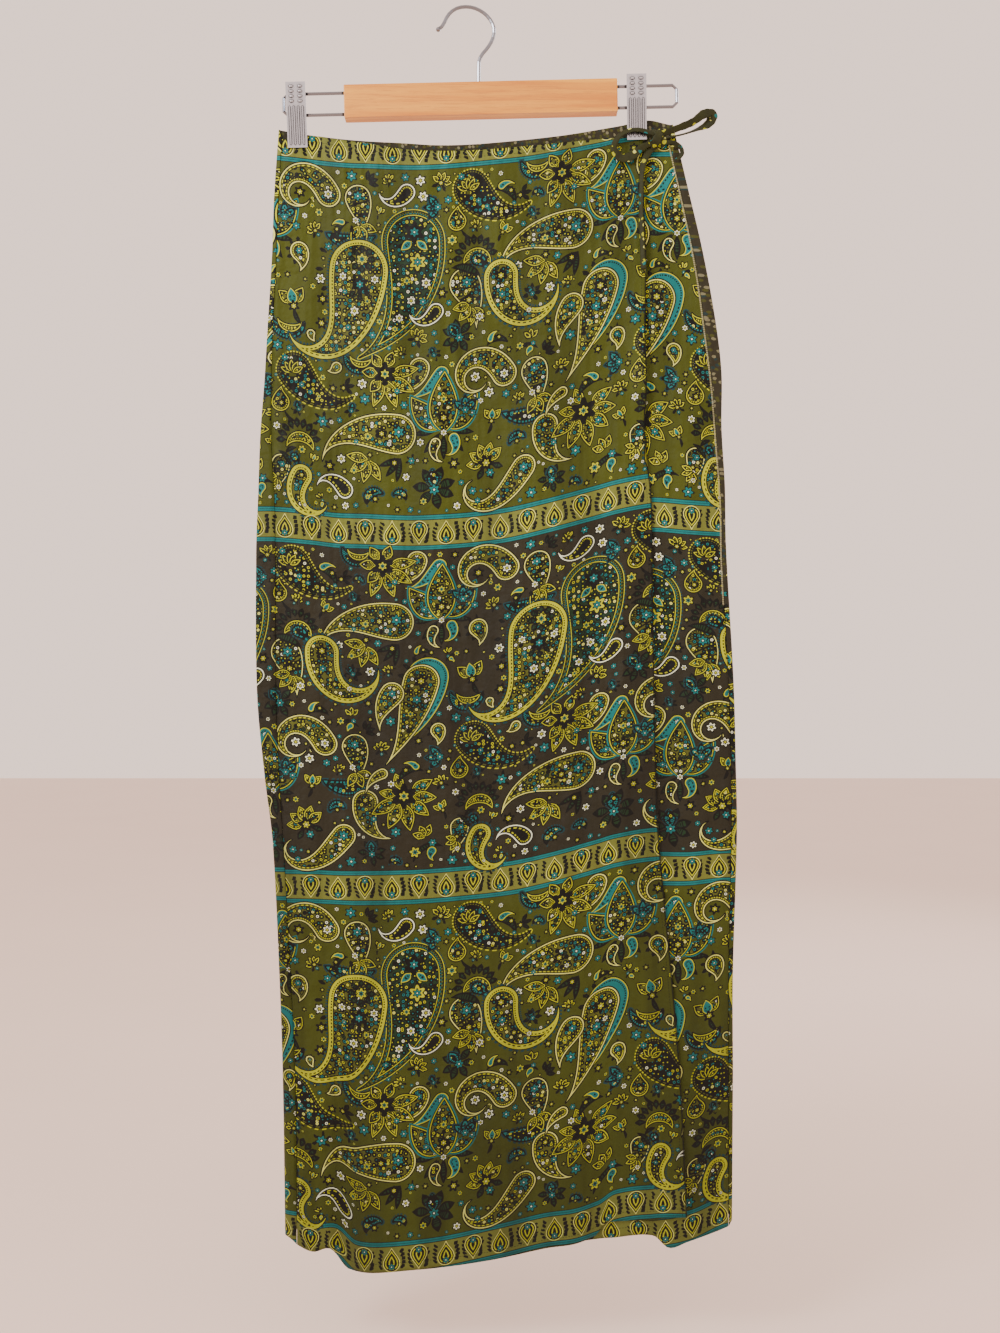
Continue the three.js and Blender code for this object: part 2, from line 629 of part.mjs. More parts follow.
// A side ear is a plate across both rods.
function ear(from, flare) {
  const low = -ROD_SPACING / 2 - EAR.overRod;
  const high = ROD_SPACING / 2 + EAR.overRod;
  const outline = polygon([
    [leafY(low, flare), low],
    [leafY(high, flare), high],
    [-EAR.reach, high - EAR.topSlope],
    [-EAR.reach, low + EAR.footSlope],
  ]);
  return layAlongX(new THREE.ExtrudeGeometry(outline, { depth: CLIP.sheet, bevelEnabled: false }), from);
}

// The spring is a ribbed barrel round the lower rod, inside the ears.
function clipSpring() {
  const hole = WIRE + GAP;
  const pitch = SPRING.length / SPRING.coils;
  const end = SPRING.length / 2;
  const profile = [new THREE.Vector2(hole, -end)];
  for (let i = 0; i < SPRING.coils; i += 1) {
    profile.push(new THREE.Vector2(hole + SPRING.core, -end + i * pitch));
    profile.push(new THREE.Vector2(hole + SPRING.crest, -end + (i + 0.5) * pitch));
  }
  profile.push(new THREE.Vector2(hole + SPRING.core, end));
  profile.push(new THREE.Vector2(hole, end));
  profile.push(profile[0].clone());
  const barrel = new THREE.LatheGeometry(profile, 10);
  barrel.rotateZ(Math.PI / 2);
  return fromSolid(toSolid(barrel.translate(0, 0, -ROD_SPACING / 2)));
}

for (const [side, x] of Object.entries(CLIP_AT)) {
  const clip = new THREE.Group();
  clip.position.x = x - BAR.centre[0];
  hanger.add(clip);
  const front = place(`clip_${side}_front`, clipLeaf(CLIP.width, CLIP.flare, EAR.frontInset), steel, clip);
  front.rotation.z = Math.PI;
  const backWidth = CLIP.width - 2 * (EAR.frontInset + EAR.spacing);
  place(`clip_${side}_back`, clipLeaf(backWidth, CLIP.flare * CLIP.backFlare, 0), steel, clip);
  place(`clip_${side}_spring`, clipSpring(), steel, clip);
}

export default skirtOnHanger;
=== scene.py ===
"""Looks of a printed wrap maxi skirt on a clip hanger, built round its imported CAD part."""

import math
import random

import bmesh
import bpy
import numpy as np
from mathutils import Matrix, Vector


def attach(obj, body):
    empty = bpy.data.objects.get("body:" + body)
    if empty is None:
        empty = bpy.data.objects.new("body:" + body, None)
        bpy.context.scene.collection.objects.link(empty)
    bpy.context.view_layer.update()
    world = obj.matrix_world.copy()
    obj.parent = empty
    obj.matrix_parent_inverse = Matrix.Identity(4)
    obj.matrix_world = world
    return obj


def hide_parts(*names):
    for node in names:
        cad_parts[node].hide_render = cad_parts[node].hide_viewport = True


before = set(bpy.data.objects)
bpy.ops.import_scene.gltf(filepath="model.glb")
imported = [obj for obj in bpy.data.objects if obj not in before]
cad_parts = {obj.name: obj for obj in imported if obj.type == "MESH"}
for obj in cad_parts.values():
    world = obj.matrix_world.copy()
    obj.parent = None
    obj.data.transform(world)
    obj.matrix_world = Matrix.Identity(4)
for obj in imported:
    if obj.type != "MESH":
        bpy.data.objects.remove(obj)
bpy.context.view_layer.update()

MM = 0.001

# ------------------------------------------------------------- camera, light, stage

CAMERA = {"at": (0.033, -1.363, -0.616), "frame_height": 1.24, "distance": 1.35}
SENSOR_HEIGHT = 24.0
FLOOR_LEVEL = -1.26
WALL_TINT = (0.88, 0.68, 0.585)

camera_data = bpy.data.cameras.new("camera")
camera_data.sensor_fit = "VERTICAL"
camera_data.sensor_height = SENSOR_HEIGHT
camera_data.lens = SENSOR_HEIGHT * CAMERA["distance"] / CAMERA["frame_height"]
camera = bpy.data.objects.new("camera", camera_data)
camera.location = CAMERA["at"]
camera.rotation_euler = (math.radians(90), 0, 0)
bpy.context.scene.collection.objects.link(camera)
bpy.context.scene.camera = camera


def area_light(name, at, aim, size, power):
    data = bpy.data.lights.new(name, "AREA")
    data.size = size
    data.energy = power
    light = bpy.data.objects.new(name, data)
    light.location = at
    light.rotation_euler = (Vector(aim) - Vector(at)).to_track_quat("-Z", "Y").to_euler()
    bpy.context.scene.collection.objects.link(light)


MIDDLE = (0.03, 0.0, -0.6)
area_light("key", (-1.1, -1.25, 0.5), (0.0, 0.0, -0.4), 0.6, 21)
area_light("fill", (1.6, -1.7, -0.1), MIDDLE, 1.6, 1.5)
area_light("back", (1.4, 1.9, 0.5), MIDDLE, 1.2, 24)

world = bpy.data.worlds.new("room")
world.use_nodes = True
world.node_tree.nodes["Background"].inputs["Color"].default_value = (*WALL_TINT, 1)
world.node_tree.nodes["Background"].inputs["Strength"].default_value = 1.85
bpy.context.scene.world = world


# ------------------------------------------------------------- node graphs


def ink(red, green, blue):
    """A linear colour from its 0 to 255 screen values."""
    def linear(value):
        share = value / 255
        return share / 12.92 if share <= 0.04045 else ((share + 0.055) / 1.055) ** 2.4

    return (linear(red), linear(green), linear(blue), 1.0)


class Graph:
    """A material's nodes, added in the order in which they are worked out."""

    def __init__(self, name):
        self.material = bpy.data.materials.new(name)
        self.material.use_nodes = True
        self.nodes = self.material.node_tree.nodes
        self.links = self.material.node_tree.links
        self.shader = self.nodes["Principled BSDF"]

    def plug(self, socket, value):
        if isinstance(value, bpy.types.NodeSocket):
            self.links.new(value, socket)
        elif value is not None:
            socket.default_value = value

    def add(self, kind, sockets=(), **settings):
        node = self.nodes.new(kind)
        for name, value in settings.items():
            setattr(node, name, value)
        for key, value in dict(sockets).items():
            self.plug(node.inputs[key], value)
        return node

    def math(self, operation, *values):
        node = self.add("ShaderNodeMath", operation=operation)
        for socket, value in zip(node.inputs, values):
            self.plug(socket, value)
        return node.outputs[0]

    def mix(self, share, low, high, blend="MIX"):
        node = self.add("ShaderNodeMix", data_type="RGBA", blend_type=blend)
        for key, value in (("Factor_Float", share), ("A_Color", low), ("B_Color", high)):
            self.plug(next(s for s in node.inputs if s.identifier == key), value)
        return next(s for s in node.outputs if s.identifier == "Result_Color")

    def blend(self, share, low, high):
        """low where share is 0 and high where it is 1, for numbers."""
        return self.math("MULTIPLY_ADD", share, self.math("SUBTRACT", high, low), low)

    def attribute(self, name):
        return self.add("ShaderNodeAttribute", attribute_name=name).outputs["Vector"]

    def parts(self, vector):
        return self.add("ShaderNodeSeparateXYZ", {"Vector": vector}).outputs

    def vector(self, x, y, z=0.0):
        return self.add("ShaderNodeCombineXYZ", {"X": x, "Y": y, "Z": z}).outputs[0]

    def noise(self, vector, scale, detail=2.0, roughness=0.5):
        sockets = {"Vector": vector, "Scale": scale, "Detail": detail, "Roughness": roughness}
        return self.add("ShaderNodeTexNoise", sockets).outputs["Fac"]

    def place(self):
        return self.add("ShaderNodeNewGeometry").outputs["Position"]

    def stretched(self, place, scale):
        return self.add("ShaderNodeMapping", {"Vector": place, "Scale": scale}).outputs[0]

    def span(self, value, low, high, start=0.0, end=1.0):
        """low to high as value runs from start to end."""
        sockets = {"Value": value, "From Min": start, "From Max": end, "To Min": low, "To Max": high}
        return self.add("ShaderNodeMapRange", sockets).outputs[0]

    def shaded(self, colour, tone):
        return self.mix(1.0, colour, self.vector(tone, tone, tone), "MULTIPLY")

    def steps(self, place, stops):
        """Hard-edged colours along place, and their clearness."""
        node = self.add("ShaderNodeValToRGB", {"Fac": place})
        ramp = node.color_ramp
        ramp.interpolation = "CONSTANT"
        while len(ramp.elements) < len(stops):
            ramp.elements.new(1.0)
        for element, (position, colour) in zip(ramp.elements, stops):
            element.position = position
            element.color = colour
        return node.outputs["Color"], node.outputs["Alpha"]

    def bump(self, height, strength, distance, under=None):
        sockets = {"Strength": strength, "Distance": distance, "Height": height, "Normal": under}
        return self.add("ShaderNodeBump", sockets).outputs["Normal"]

    def finish(self, **sockets):
        for key, value in sockets.items():
            self.plug(self.shader.inputs[key.replace("_", " ")], value)
        return self.material


# ------------------------------------------------------------- the print's inks

OLIVE = ink(62, 72, 4)
BROWN = ink(38, 38, 25)
BAND = ink(106, 116, 48)
TEAL = ink(2, 112, 114)
DEEP = ink(6, 58, 66)
DARK = ink(3, 7, 5)
GOLD = ink(174, 184, 30)
CREAM = ink(208, 218, 116)
WHITE = ink(232, 248, 220)
GREEN = ink(20, 50, 26)
MOSS = ink(80, 88, 24)

CLEAR = (0.0, 0.0, 0.0, 0.0)
PATTERNED = 0.5  # clearness that marks a fill of tiny flowers


def filled(colour):
    return (*colour[:3], PATTERNED)


# Rings of a drop shape from outside to inside: where each starts, in millimetres inside the
# edge, its ink on a bead and its ink between beads.
RING_START = -4.0
RING_SPAN = 12.0
RINGS = {
    "gold": [(-3.2, DEEP, CLEAR), (-1.3, DARK, DARK), (-0.3, GOLD, GOLD), (1.9, DARK, GOLD),
             (3.0, GOLD, GOLD), (4.0, DARK, DARK), (5.0, filled(MOSS), filled(MOSS))],
    "green": [(-3.4, DEEP, CLEAR), (-1.8, GOLD, GOLD), (-1.1, DARK, DARK), (0.1, GREEN, MOSS),
              (1.7, TEAL, DARK), (2.5, DARK, DARK), (3.3, GOLD, GOLD), (3.9, DARK, DARK),
              (4.7, filled(GREEN), filled(GREEN))],
    "cream": [(-1.2, DARK, DARK), (-0.1, CREAM, CREAM), (1.0, DARK, DARK), (2.0, GOLD, MOSS),
              (3.1, DARK, DARK), (3.9, filled(MOSS), filled(MOSS))],
    "shell": [(-2.8, GOLD, CLEAR), (-1.5, DARK, DARK), (-0.4, MOSS, DARK),
              (0.8, DARK, DARK), (1.9, filled(DARK), filled(DARK))],
    "teal": [(-1.2, DARK, DARK), (-0.4, GOLD, GOLD), (0.6, TEAL, TEAL), (2.0, DARK, TEAL),
             (3.2, TEAL, TEAL)],
    "leaf": [(-1.1, DARK, DARK), (0.0, GOLD, GOLD), (0.9, DARK, DARK), (1.9, GOLD, DARK),
             (2.9, filled(MOSS), filled(MOSS))],
    "white": [(-1.0, DARK, DARK), (-0.1, WHITE, WHITE), (1.0, DARK, DARK), (2.3, GOLD, DARK),
              (3.6, DARK, DARK)],
    "drop": [(-0.6, CREAM, CREAM), (0.3, DARK, DARK), (1.3, GOLD, GOLD), (2.5, DARK, DARK),
             (4.6, GOLD, GOLD), (5.8, DARK, DARK)],
    "dark": [(-0.3, DARK, DARK), (1.6, GREEN, DARK)],
    "blue": [(-2.8, DEEP, CLEAR), (-1.2, DARK, DARK), (0.2, TEAL, DARK),
             (1.8, filled(DARK), filled(DARK))],
    "lotus": [(-1.3, TEAL, TEAL), (0.0, DARK, DARK), (1.0, GOLD, GOLD), (2.0, DARK, DARK),
              (3.0, filled(MOSS), filled(MOSS))],
    "bird": [(-1.2, DARK, DARK), (-0.1, CREAM, CREAM), (0.8, DARK, DARK),
             (1.6, filled(MOSS), filled(DARK))],
}
# Rings of a flower from its middle outwards, as shares of its radius.
FLOWER_SPAN = 1.3
FLOWERS = {
    "dark*": [(0.0, CREAM), (0.16, DARK), (0.24, GOLD), (0.4, DARK), (0.96, CLEAR)],
    "teal*": [(0.0, WHITE), (0.16, DARK), (0.34, TEAL), (0.76, DARK), (1.0, CLEAR)],
    "white*": [(0.0, GOLD), (0.22, DARK), (0.44, WHITE), (0.72, DARK), (1.0, CLEAR)],
    "gold*": [(0.0, DARK), (0.2, TEAL), (0.34, DARK), (0.44, GOLD), (0.78, DARK), (1.0, CLEAR)],
}
STYLES = [*RINGS, *FLOWERS]
PER_RAMP = 4
INSIDE_RAMP = 0.998
BEAD_PITCH = 2.6
BEAD_SHARE = 0.55
PETALS = 6.0
PETAL_DEPTH = 0.2
NO_STYLE = -1.0


def ramp_stops(first, bead):
    """The stops of the four styles from first on, side by side along one ramp."""
    stops = []
    for place, name in enumerate(STYLES[first:first + PER_RAMP]):
        if name in RINGS:
            stops.append((place / PER_RAMP, CLEAR))
            rows = [((row[0] - RING_START) / RING_SPAN, row[1 if bead else 2]) for row in RINGS[name]]
        else:
            rows = [(row[0] / FLOWER_SPAN, row[1]) for row in FLOWERS[name]]
        stops += [((place + share) / PER_RAMP, colour) for share, colour in rows]
    return stops


def printed_layer(graph, under, name, style, tiny, tiny_mask):
    """Lays one layer of shapes over the colour under."""
    across, along, radius = graph.parts(graph.attribute(name))
    flower = graph.math("GREATER_THAN", style, len(RINGS) - 0.25)
    behind = graph.math("MINIMUM", along, 0.0)
    off = graph.math("ABSOLUTE", across)
    reach = graph.math("SQRT", graph.math("ADD", graph.math("MULTIPLY", off, off),
                                          graph.math("MULTIPLY", behind, behind)))
    inside = graph.math("SUBTRACT", radius, reach)
    ring = graph.math("MULTIPLY_ADD", inside, 1 / RING_SPAN, -RING_START / RING_SPAN)
    turn = graph.math("MINIMUM", graph.math("ARCTAN2", off, graph.math("MULTIPLY", along, -1.0)),
                      math.pi / 2)
    travel = graph.math("MULTIPLY_ADD", turn, radius, graph.math("MAXIMUM", along, 0.0))
    bead = graph.math("LESS_THAN", graph.math("FRACT", graph.math("DIVIDE", travel, BEAD_PITCH)),
                      BEAD_SHARE)
    distance = graph.math("SQRT", graph.math("ADD", graph.math("MULTIPLY", across, across),
                                             graph.math("MULTIPLY", along, along)))
    angle = graph.math("MULTIPLY", graph.math("ARCTAN2", across, along), PETALS)
    edge = graph.math("MULTIPLY_ADD", graph.math("COSINE", angle), PETAL_DEPTH, 1.0 - PETAL_DEPTH)
    bloom = graph.math("DIVIDE", graph.math("DIVIDE", distance, edge), FLOWER_SPAN)
    place = graph.blend(flower, ring, bloom)
    place = graph.math("MINIMUM", graph.math("MAXIMUM", place, 1 - INSIDE_RAMP), INSIDE_RAMP)
    column = graph.math("FLOORED_MODULO", style, float(PER_RAMP))
    lookup = graph.math("DIVIDE", graph.math("ADD", column, place), float(PER_RAMP))
    bead_shown = graph.steps(lookup, ramp_stops(0, True))
    gap_shown = graph.steps(lookup, ramp_stops(0, False))
    for first in range(PER_RAMP, len(RINGS), PER_RAMP):
        later = graph.math("GREATER_THAN", style, first - 0.25)
        bead_next = graph.steps(lookup, ramp_stops(first, True))
        gap_next = graph.steps(lookup, ramp_stops(first, False))
        bead_shown = (graph.mix(later, bead_shown[0], bead_next[0]),
                      graph.blend(later, bead_shown[1], bead_next[1]))
        gap_shown = (graph.mix(later, gap_shown[0], gap_next[0]),
                     graph.blend(later, gap_shown[1], gap_next[1]))
    bloom_shown = graph.steps(lookup, ramp_stops(len(RINGS), False))
    colour = graph.mix(bead, gap_shown[0], bead_shown[0])
    colour = graph.mix(flower, colour, bloom_shown[0])
    solid = graph.blend(bead, gap_shown[1], bead_shown[1])
    solid = graph.blend(flower, solid, bloom_shown[1])
    patterned = graph.math("LESS_THAN", solid, (1 + PATTERNED) / 2)
    colour = graph.mix(graph.math("MULTIPLY", patterned, tiny_mask), colour, tiny)
    shown = graph.math("GREATER_THAN", solid, PATTERNED / 2)
    shown = graph.math("MULTIPLY", shown, graph.math("GREATER_THAN", style, NO_STYLE / 2))
    return graph.mix(shown, under, colour)


# Bands across the cloth, in millimetres of print from the waist band's middle.
BAND_PITCH = 345.0
BAND_RINGS = [(0.0, BAND), (11.6, DARK), (12.3, TEAL), (13.9, DEEP), (14.3, TEAL), (16.0, DARK),
              (16.6, OLIVE)]
BAND_LOOKUP = 20.0
BAND_EDGE = 16.6
TINY_CELL = 4.2
LAYERS = ("print_1", "print_2", "print_3", "print_4")


def printed_colour(graph, across, down):
    """The whole print at a place on the cloth, in millimetres."""
    band = graph.math("FRACT", graph.math("ADD", graph.math("DIVIDE", down, BAND_PITCH), 0.5))
    band = graph.math("ABSOLUTE", graph.math("SUBTRACT", band, 0.5))
    band = graph.math("MULTIPLY", band, BAND_PITCH)
    number = graph.math("FLOOR", graph.math("DIVIDE", down, BAND_PITCH))
    brown = graph.math("COMPARE", number, 1.0, 0.25)
    ground = graph.mix(brown, OLIVE, BROWN)
    lines, _ = graph.steps(graph.math("DIVIDE", band, BAND_LOOKUP),
                           [(start / BAND_LOOKUP, colour) for start, colour in BAND_RINGS])
    colour = graph.mix(graph.math("LESS_THAN", band, BAND_EDGE), ground, lines)
    cell = graph.add("ShaderNodeTexVoronoi", {
        "Vector": graph.vector(across, down), "Scale": 1 / TINY_CELL, "Randomness": 0.75,
    }, voronoi_dimensions="2D")
    tone = graph.parts(cell.outputs["Color"])[0]
    _, tiny_mask = graph.steps(cell.outputs["Distance"], [(0.0, GOLD), (0.52, CLEAR)])
    petal, _ = graph.steps(tone, [(0.0, DARK), (0.26, GOLD), (0.42, GREEN), (0.54, CREAM),
                                  (0.6, WHITE), (0.66, TEAL), (0.82, DARK)])
    heart, _ = graph.steps(tone, [(0.0, GOLD), (0.3, DARK), (0.44, GOLD), (0.6, DARK), (0.84, TEAL)])
    tiny = graph.mix(graph.math("LESS_THAN", cell.outputs["Distance"], 0.15), petal, heart)
    tiny = graph.mix(graph.math("GREATER_THAN", cell.outputs["Distance"], 0.33), tiny, DARK)
    styles = list(graph.parts(graph.attribute("print_styles")))
    styles.append(graph.add("ShaderNodeAttribute", attribute_name="print_style_last").outputs["Fac"])
    for layer in reversed(range(len(LAYERS))):
        colour = printed_layer(graph, colour, LAYERS[layer], styles[layer], tiny, tiny_mask)
    return colour


# ------------------------------------------------------------- cloth materials

WEAVE_PITCH = 0.55
STITCH_PITCH = 2.8
STITCH_SHARE = 0.62
STITCH_WIDTH = 0.28
HEM_STITCH = 8.0
WAIST_STITCH = 6.0
SEAM_WIDTH = 1.5
SEAM_PITCH = 1.9
SEAM_REACH = 6.0
SEAM_SHOWN = 430.0  # down the print, where the side turns back under
EDGE_SHADOW_WIDTH = 1.3
FADE_SCALE = 9.0
GRAIN_SCALE = 1400.0
SPECK_REACH = 0.42  # of a cell, on the wrong side and on the tie
CREPE_SCALE = 900.0
RUMPLE_SCALE = 42.0
HANG_SCALE = (24.0, 24.0, 4.5)
CREASE_SHADE_SCALE = (26.0, 26.0, 3.6)
CREASE_SHADE_TONES = (0.72, 1.12)
SEAM_THREAD = ink(170, 172, 136)
HEM_LEVEL = -1150.0
PAINTED_SHADE_TOP = -450.0
HEM_PAINTED_SHADE = 0.58  # painted shade: share of the print's brightness left at the hem


def cloth_surface(graph, across, down, place):
    """Crepe weave and a soft unevenness, as a normal."""
    warp = graph.math("SINE", graph.math("MULTIPLY", across, 2 * math.pi / WEAVE_PITCH))
    weft = graph.math("SINE", graph.math("MULTIPLY", down, 2 * math.pi / WEAVE_PITCH))
    weave = graph.math("MULTIPLY", warp, weft)
    crepe = graph.noise(place, CREPE_SCALE, 3.0)
    hang = graph.stretched(place, HANG_SCALE)
    slack = graph.noise(hang, 1.0, 3.0, 0.55)
    rumple = graph.noise(place, RUMPLE_SCALE, 3.0, 0.6)
    slack = graph.math("MULTIPLY_ADD", rumple, 0.3, slack)
    fine = graph.bump(graph.math("ADD", weave, graph.math("MULTIPLY", crepe, 3.0)), 0.35, 0.00008)
    return graph.bump(slack, 0.8, 0.016, fine)


def stitch_mask(graph, across, down):
    """1 on the thread of the hem, waist and free-edge stitching."""
    waist, hem, side = graph.parts(graph.attribute("edge"))

    def row(from_edge, at, travel):
        near = graph.math("COMPARE", from_edge, at, STITCH_WIDTH)
        dash = graph.math("LESS_THAN", graph.math("FRACT", graph.math("DIVIDE", travel, STITCH_PITCH)),
                          STITCH_SHARE)
        return graph.math("MULTIPLY", near, dash)

    rows = graph.math("MAXIMUM", row(hem, HEM_STITCH, across), row(waist, WAIST_STITCH, across))
    return graph.math("MAXIMUM", rows, row(side, HEM_STITCH / 2, down))


def seam_mask(graph, down):
    """1 on the pale overlock thread along a seam, which the edge attribute gives as negative."""
    side = graph.parts(graph.attribute("edge"))[2]
    near = graph.math("COMPARE", side, -SEAM_WIDTH / 2 - 0.05, SEAM_WIDTH / 2)
    dash = graph.math("LESS_THAN", graph.math("FRACT", graph.math("DIVIDE", down, SEAM_PITCH)), 0.8)
    upper = graph.math("LESS_THAN", down, SEAM_SHOWN)
    return graph.math("MULTIPLY", graph.math("MULTIPLY", near, dash), upper)


def printed_cloth(name, painted_brightness):
    graph = Graph(name)
    across, down, _ = graph.parts(graph.attribute("cloth"))
    place = graph.place()
    colour = printed_colour(graph, across, down)
    # painted light: the whole print is scaled by the given brightness, lighter on the back's copy; the
    # noise varies the tone at random
    fade = graph.span(graph.noise(place, FADE_SCALE, 3.0), painted_brightness * 0.9, painted_brightness * 1.1)
    # painted shade: stretched noise darkens and lightens the print in soft vertical streaks, as
    # creases would shade it
    painted_crease_shade = graph.noise(graph.stretched(place, CREASE_SHADE_SCALE), 1.0, 3.0, 0.6)
    painted_crease_shade = graph.span(painted_crease_shade, *CREASE_SHADE_TONES, 0.35, 0.6)
    # painted shade: the cloth grows darker towards the hem, as though less light reached it
    level = graph.span(graph.parts(place)[2], HEM_PAINTED_SHADE, 1.0, HEM_LEVEL * MM, PAINTED_SHADE_TOP * MM)
    grain = graph.span(graph.noise(place, GRAIN_SCALE, 1.0), 0.9, 1.1)
    for tone in (graph.math("MULTIPLY", painted_crease_shade, level), fade, grain):
        colour = graph.shaded(colour, tone)
    thread = stitch_mask(graph, across, down)
    colour = graph.mix(graph.math("MULTIPLY", thread, 0.6), colour, DARK)
    colour = graph.mix(graph.math("MULTIPLY", seam_mask(graph, down), 0.75), colour, SEAM_THREAD)
    # painted shadow: a dark line along the cloth's free edge, where the edge casts its shadow
    side = graph.parts(graph.attribute("edge"))[2]
    edge_shadow = graph.math("COMPARE", side, EDGE_SHADOW_WIDTH / 2, EDGE_SHADOW_WIDTH / 2)
    colour = graph.mix(graph.math("MULTIPLY", edge_shadow, 0.8), colour, DARK)
    normal = cloth_surface(graph, across, down, place)
    roughness = graph.span(graph.noise(place, 30.0), 0.5, 0.66)
    return graph.finish(Base_Color=colour, Roughness=roughness, Normal=normal,
                        Specular_IOR_Level=0.22, Sheen_Weight=0.04, Sheen_Roughness=0.4)


def wrong_side_cloth():
    """The inside of the cloth, where the print shows through as dull specks."""
    graph = Graph("cloth_wrong_side")
    across, down, _ = graph.parts(graph.attribute("cloth"))
    place = graph.place()
    cell = graph.add("ShaderNodeTexVoronoi", {
        "Vector": graph.vector(across, down), "Scale": 0.3, "Randomness": 0.9,
    }, voronoi_dimensions="2D")
    tone = graph.parts(cell.outputs["Color"])[0]
    speck, mask = graph.steps(tone, [(0.0, CLEAR), (0.35, MOSS), (0.7, ink(150, 152, 118)),
                                     (0.88, DEEP)])
    mask = graph.math("MULTIPLY", mask, graph.math("LESS_THAN", cell.outputs["Distance"], SPECK_REACH))
    tint = graph.mix(graph.noise(place, 40.0), ink(52, 50, 36), ink(36, 37, 24))
    colour = graph.mix(graph.math("MULTIPLY", mask, 0.5), tint, speck)
    normal = cloth_surface(graph, across, down, place)
    return graph.finish(Base_Color=colour, Roughness=0.66, Normal=normal,
                        Specular_IOR_Level=0.2, Sheen_Weight=0.04, Sheen_Roughness=0.5)


def tie_cloth():
    """The same cloth folded narrow, where only specks of the print show."""
    graph = Graph("tie_cloth")
    place = graph.place()
    wander = graph.add("ShaderNodeVectorMath", {
        0: place, 1: graph.vector(*[graph.math("MULTIPLY", graph.noise(place, 260.0), 0.004)] * 3),
    }, operation="ADD").outputs[0]
    cell = graph.add("ShaderNodeTexVoronoi", {"Vector": wander, "Scale": 210.0, "Randomness": 1.0})
    tone = graph.parts(cell.outputs["Color"])[0]
    speck, mask = graph.steps(tone, [(0.0, CLEAR), (0.5, GOLD), (0.64, CREAM), (0.7, TEAL),
                                     (0.88, CLEAR)])
    mask = graph.math("MULTIPLY", mask, graph.math("LESS_THAN", cell.outputs["Distance"], SPECK_REACH))
    tint = graph.mix(graph.noise(place, 120.0), ink(16, 20, 10), ink(50, 56, 16))
    colour = graph.mix(graph.math("MULTIPLY", mask, 0.8), tint, speck)
    crease = graph.noise(place, 300.0, 4.0)
    normal = graph.bump(crease, 0.5, 0.001)
    return graph.finish(Base_Color=colour, Roughness=0.62, Normal=normal,
                        Specular_IOR_Level=0.25, Sheen_Weight=0.05, Sheen_Roughness=0.4)


# ------------------------------------------------------------- hanger materials

GROWTH_SCALE = (4.0, 90.0, 90.0)
FIBRE_SCALE = (40.0, 900.0, 900.0)
GROOVE_SHADE_REACH = 0.003  # metres within which another face paints shade on the steel


def maple():
    graph = Graph("lacquered_maple")
    place = graph.place()
    growth = graph.noise(graph.stretched(place, GROWTH_SCALE), 1.0, 4.0, 0.6)
    pores = graph.noise(graph.stretched(place, FIBRE_SCALE), 1.0, 3.0, 0.7)
    ramp = graph.add("ShaderNodeValToRGB", {"Fac": growth})
    ramp.color_ramp.elements[0].position = 0.32
    ramp.color_ramp.elements[0].color = ink(200, 112, 18)
    ramp.color_ramp.elements[1].position = 0.7
    ramp.color_ramp.elements[1].color = ink(244, 176, 52)
    dark_pores = graph.math("MULTIPLY", graph.math("LESS_THAN", pores, 0.43), 0.4)
    colour = graph.mix(dark_pores, ramp.outputs["Color"], ink(186, 112, 46))
    normal = graph.bump(pores, 0.12, 0.0003)
    return graph.finish(Base_Color=colour, Roughness=graph.span(pores, 0.34, 0.5), Normal=normal,
                        Coat_Weight=0.25, Coat_Roughness=0.3)


def plated_steel(name, shine):
    graph = Graph(name)
    place = graph.place()
    wear = graph.noise(place, 220.0, 4.0, 0.65)
    # painted shade: ambient occlusion darkens the steel's colour in its grooves and where parts meet
    groove_shade = graph.add("ShaderNodeAmbientOcclusion", {"Distance": GROOVE_SHADE_REACH}, samples=8)
    groove_shade = groove_shade.outputs["AO"]
    groove_shaded_steel = graph.mix(graph.span(groove_shade, 0.0, 1.0, 0.84, 0.99), ink(6, 7, 10), shine)
    colour = graph.mix(graph.math("MULTIPLY", wear, 0.3), groove_shaded_steel, ink(128, 131, 138))
    smears = graph.span(graph.noise(place, 60.0, 3.0), 0.16, 0.34)
    normal = graph.bump(wear, 0.08, 0.0002)
    return graph.finish(Base_Color=colour, Roughness=smears, Metallic=1.0, Normal=normal)


def pale_floor():
    graph = Graph("pale_floor")
    place = graph.place()
    colour = graph.mix(graph.noise(place, 3.0, 4.0), (0.80, 0.655, 0.575, 1), (0.84, 0.69, 0.61, 1))
    return graph.finish(Base_Color=colour, Roughness=0.85)


# ------------------------------------------------------------- shapes of the print

SPINE_STEPS = 44
PROFILES = {
    "paisley": lambda t: (1 - t) ** 1.7 * (1 + 1.7 * t),
    "petal": lambda t: np.sin(np.pi * t ** 0.75) ** 0.9,
    "leaf": lambda t: np.sin(np.pi * t) ** 0.9,
}


def drop(style, x, y, turn, length, radius, bend=0.0, curl=1.0, profile="paisley"):
    """A shape along a bent spine, in millimetres and degrees. turn 0 runs to the right, 90 down."""
    return {"style": style, "x": x, "y": y, "turn": turn, "length": length, "radius": radius,
            "bend": bend, "curl": curl, "profile": profile}


def flower(style, x, y, radius, turn=0.0):
    return {"style": style, "x": x, "y": y, "turn": turn, "length": 0.0, "radius": radius,
            "bend": 0.0, "curl": 1.0, "profile": None}


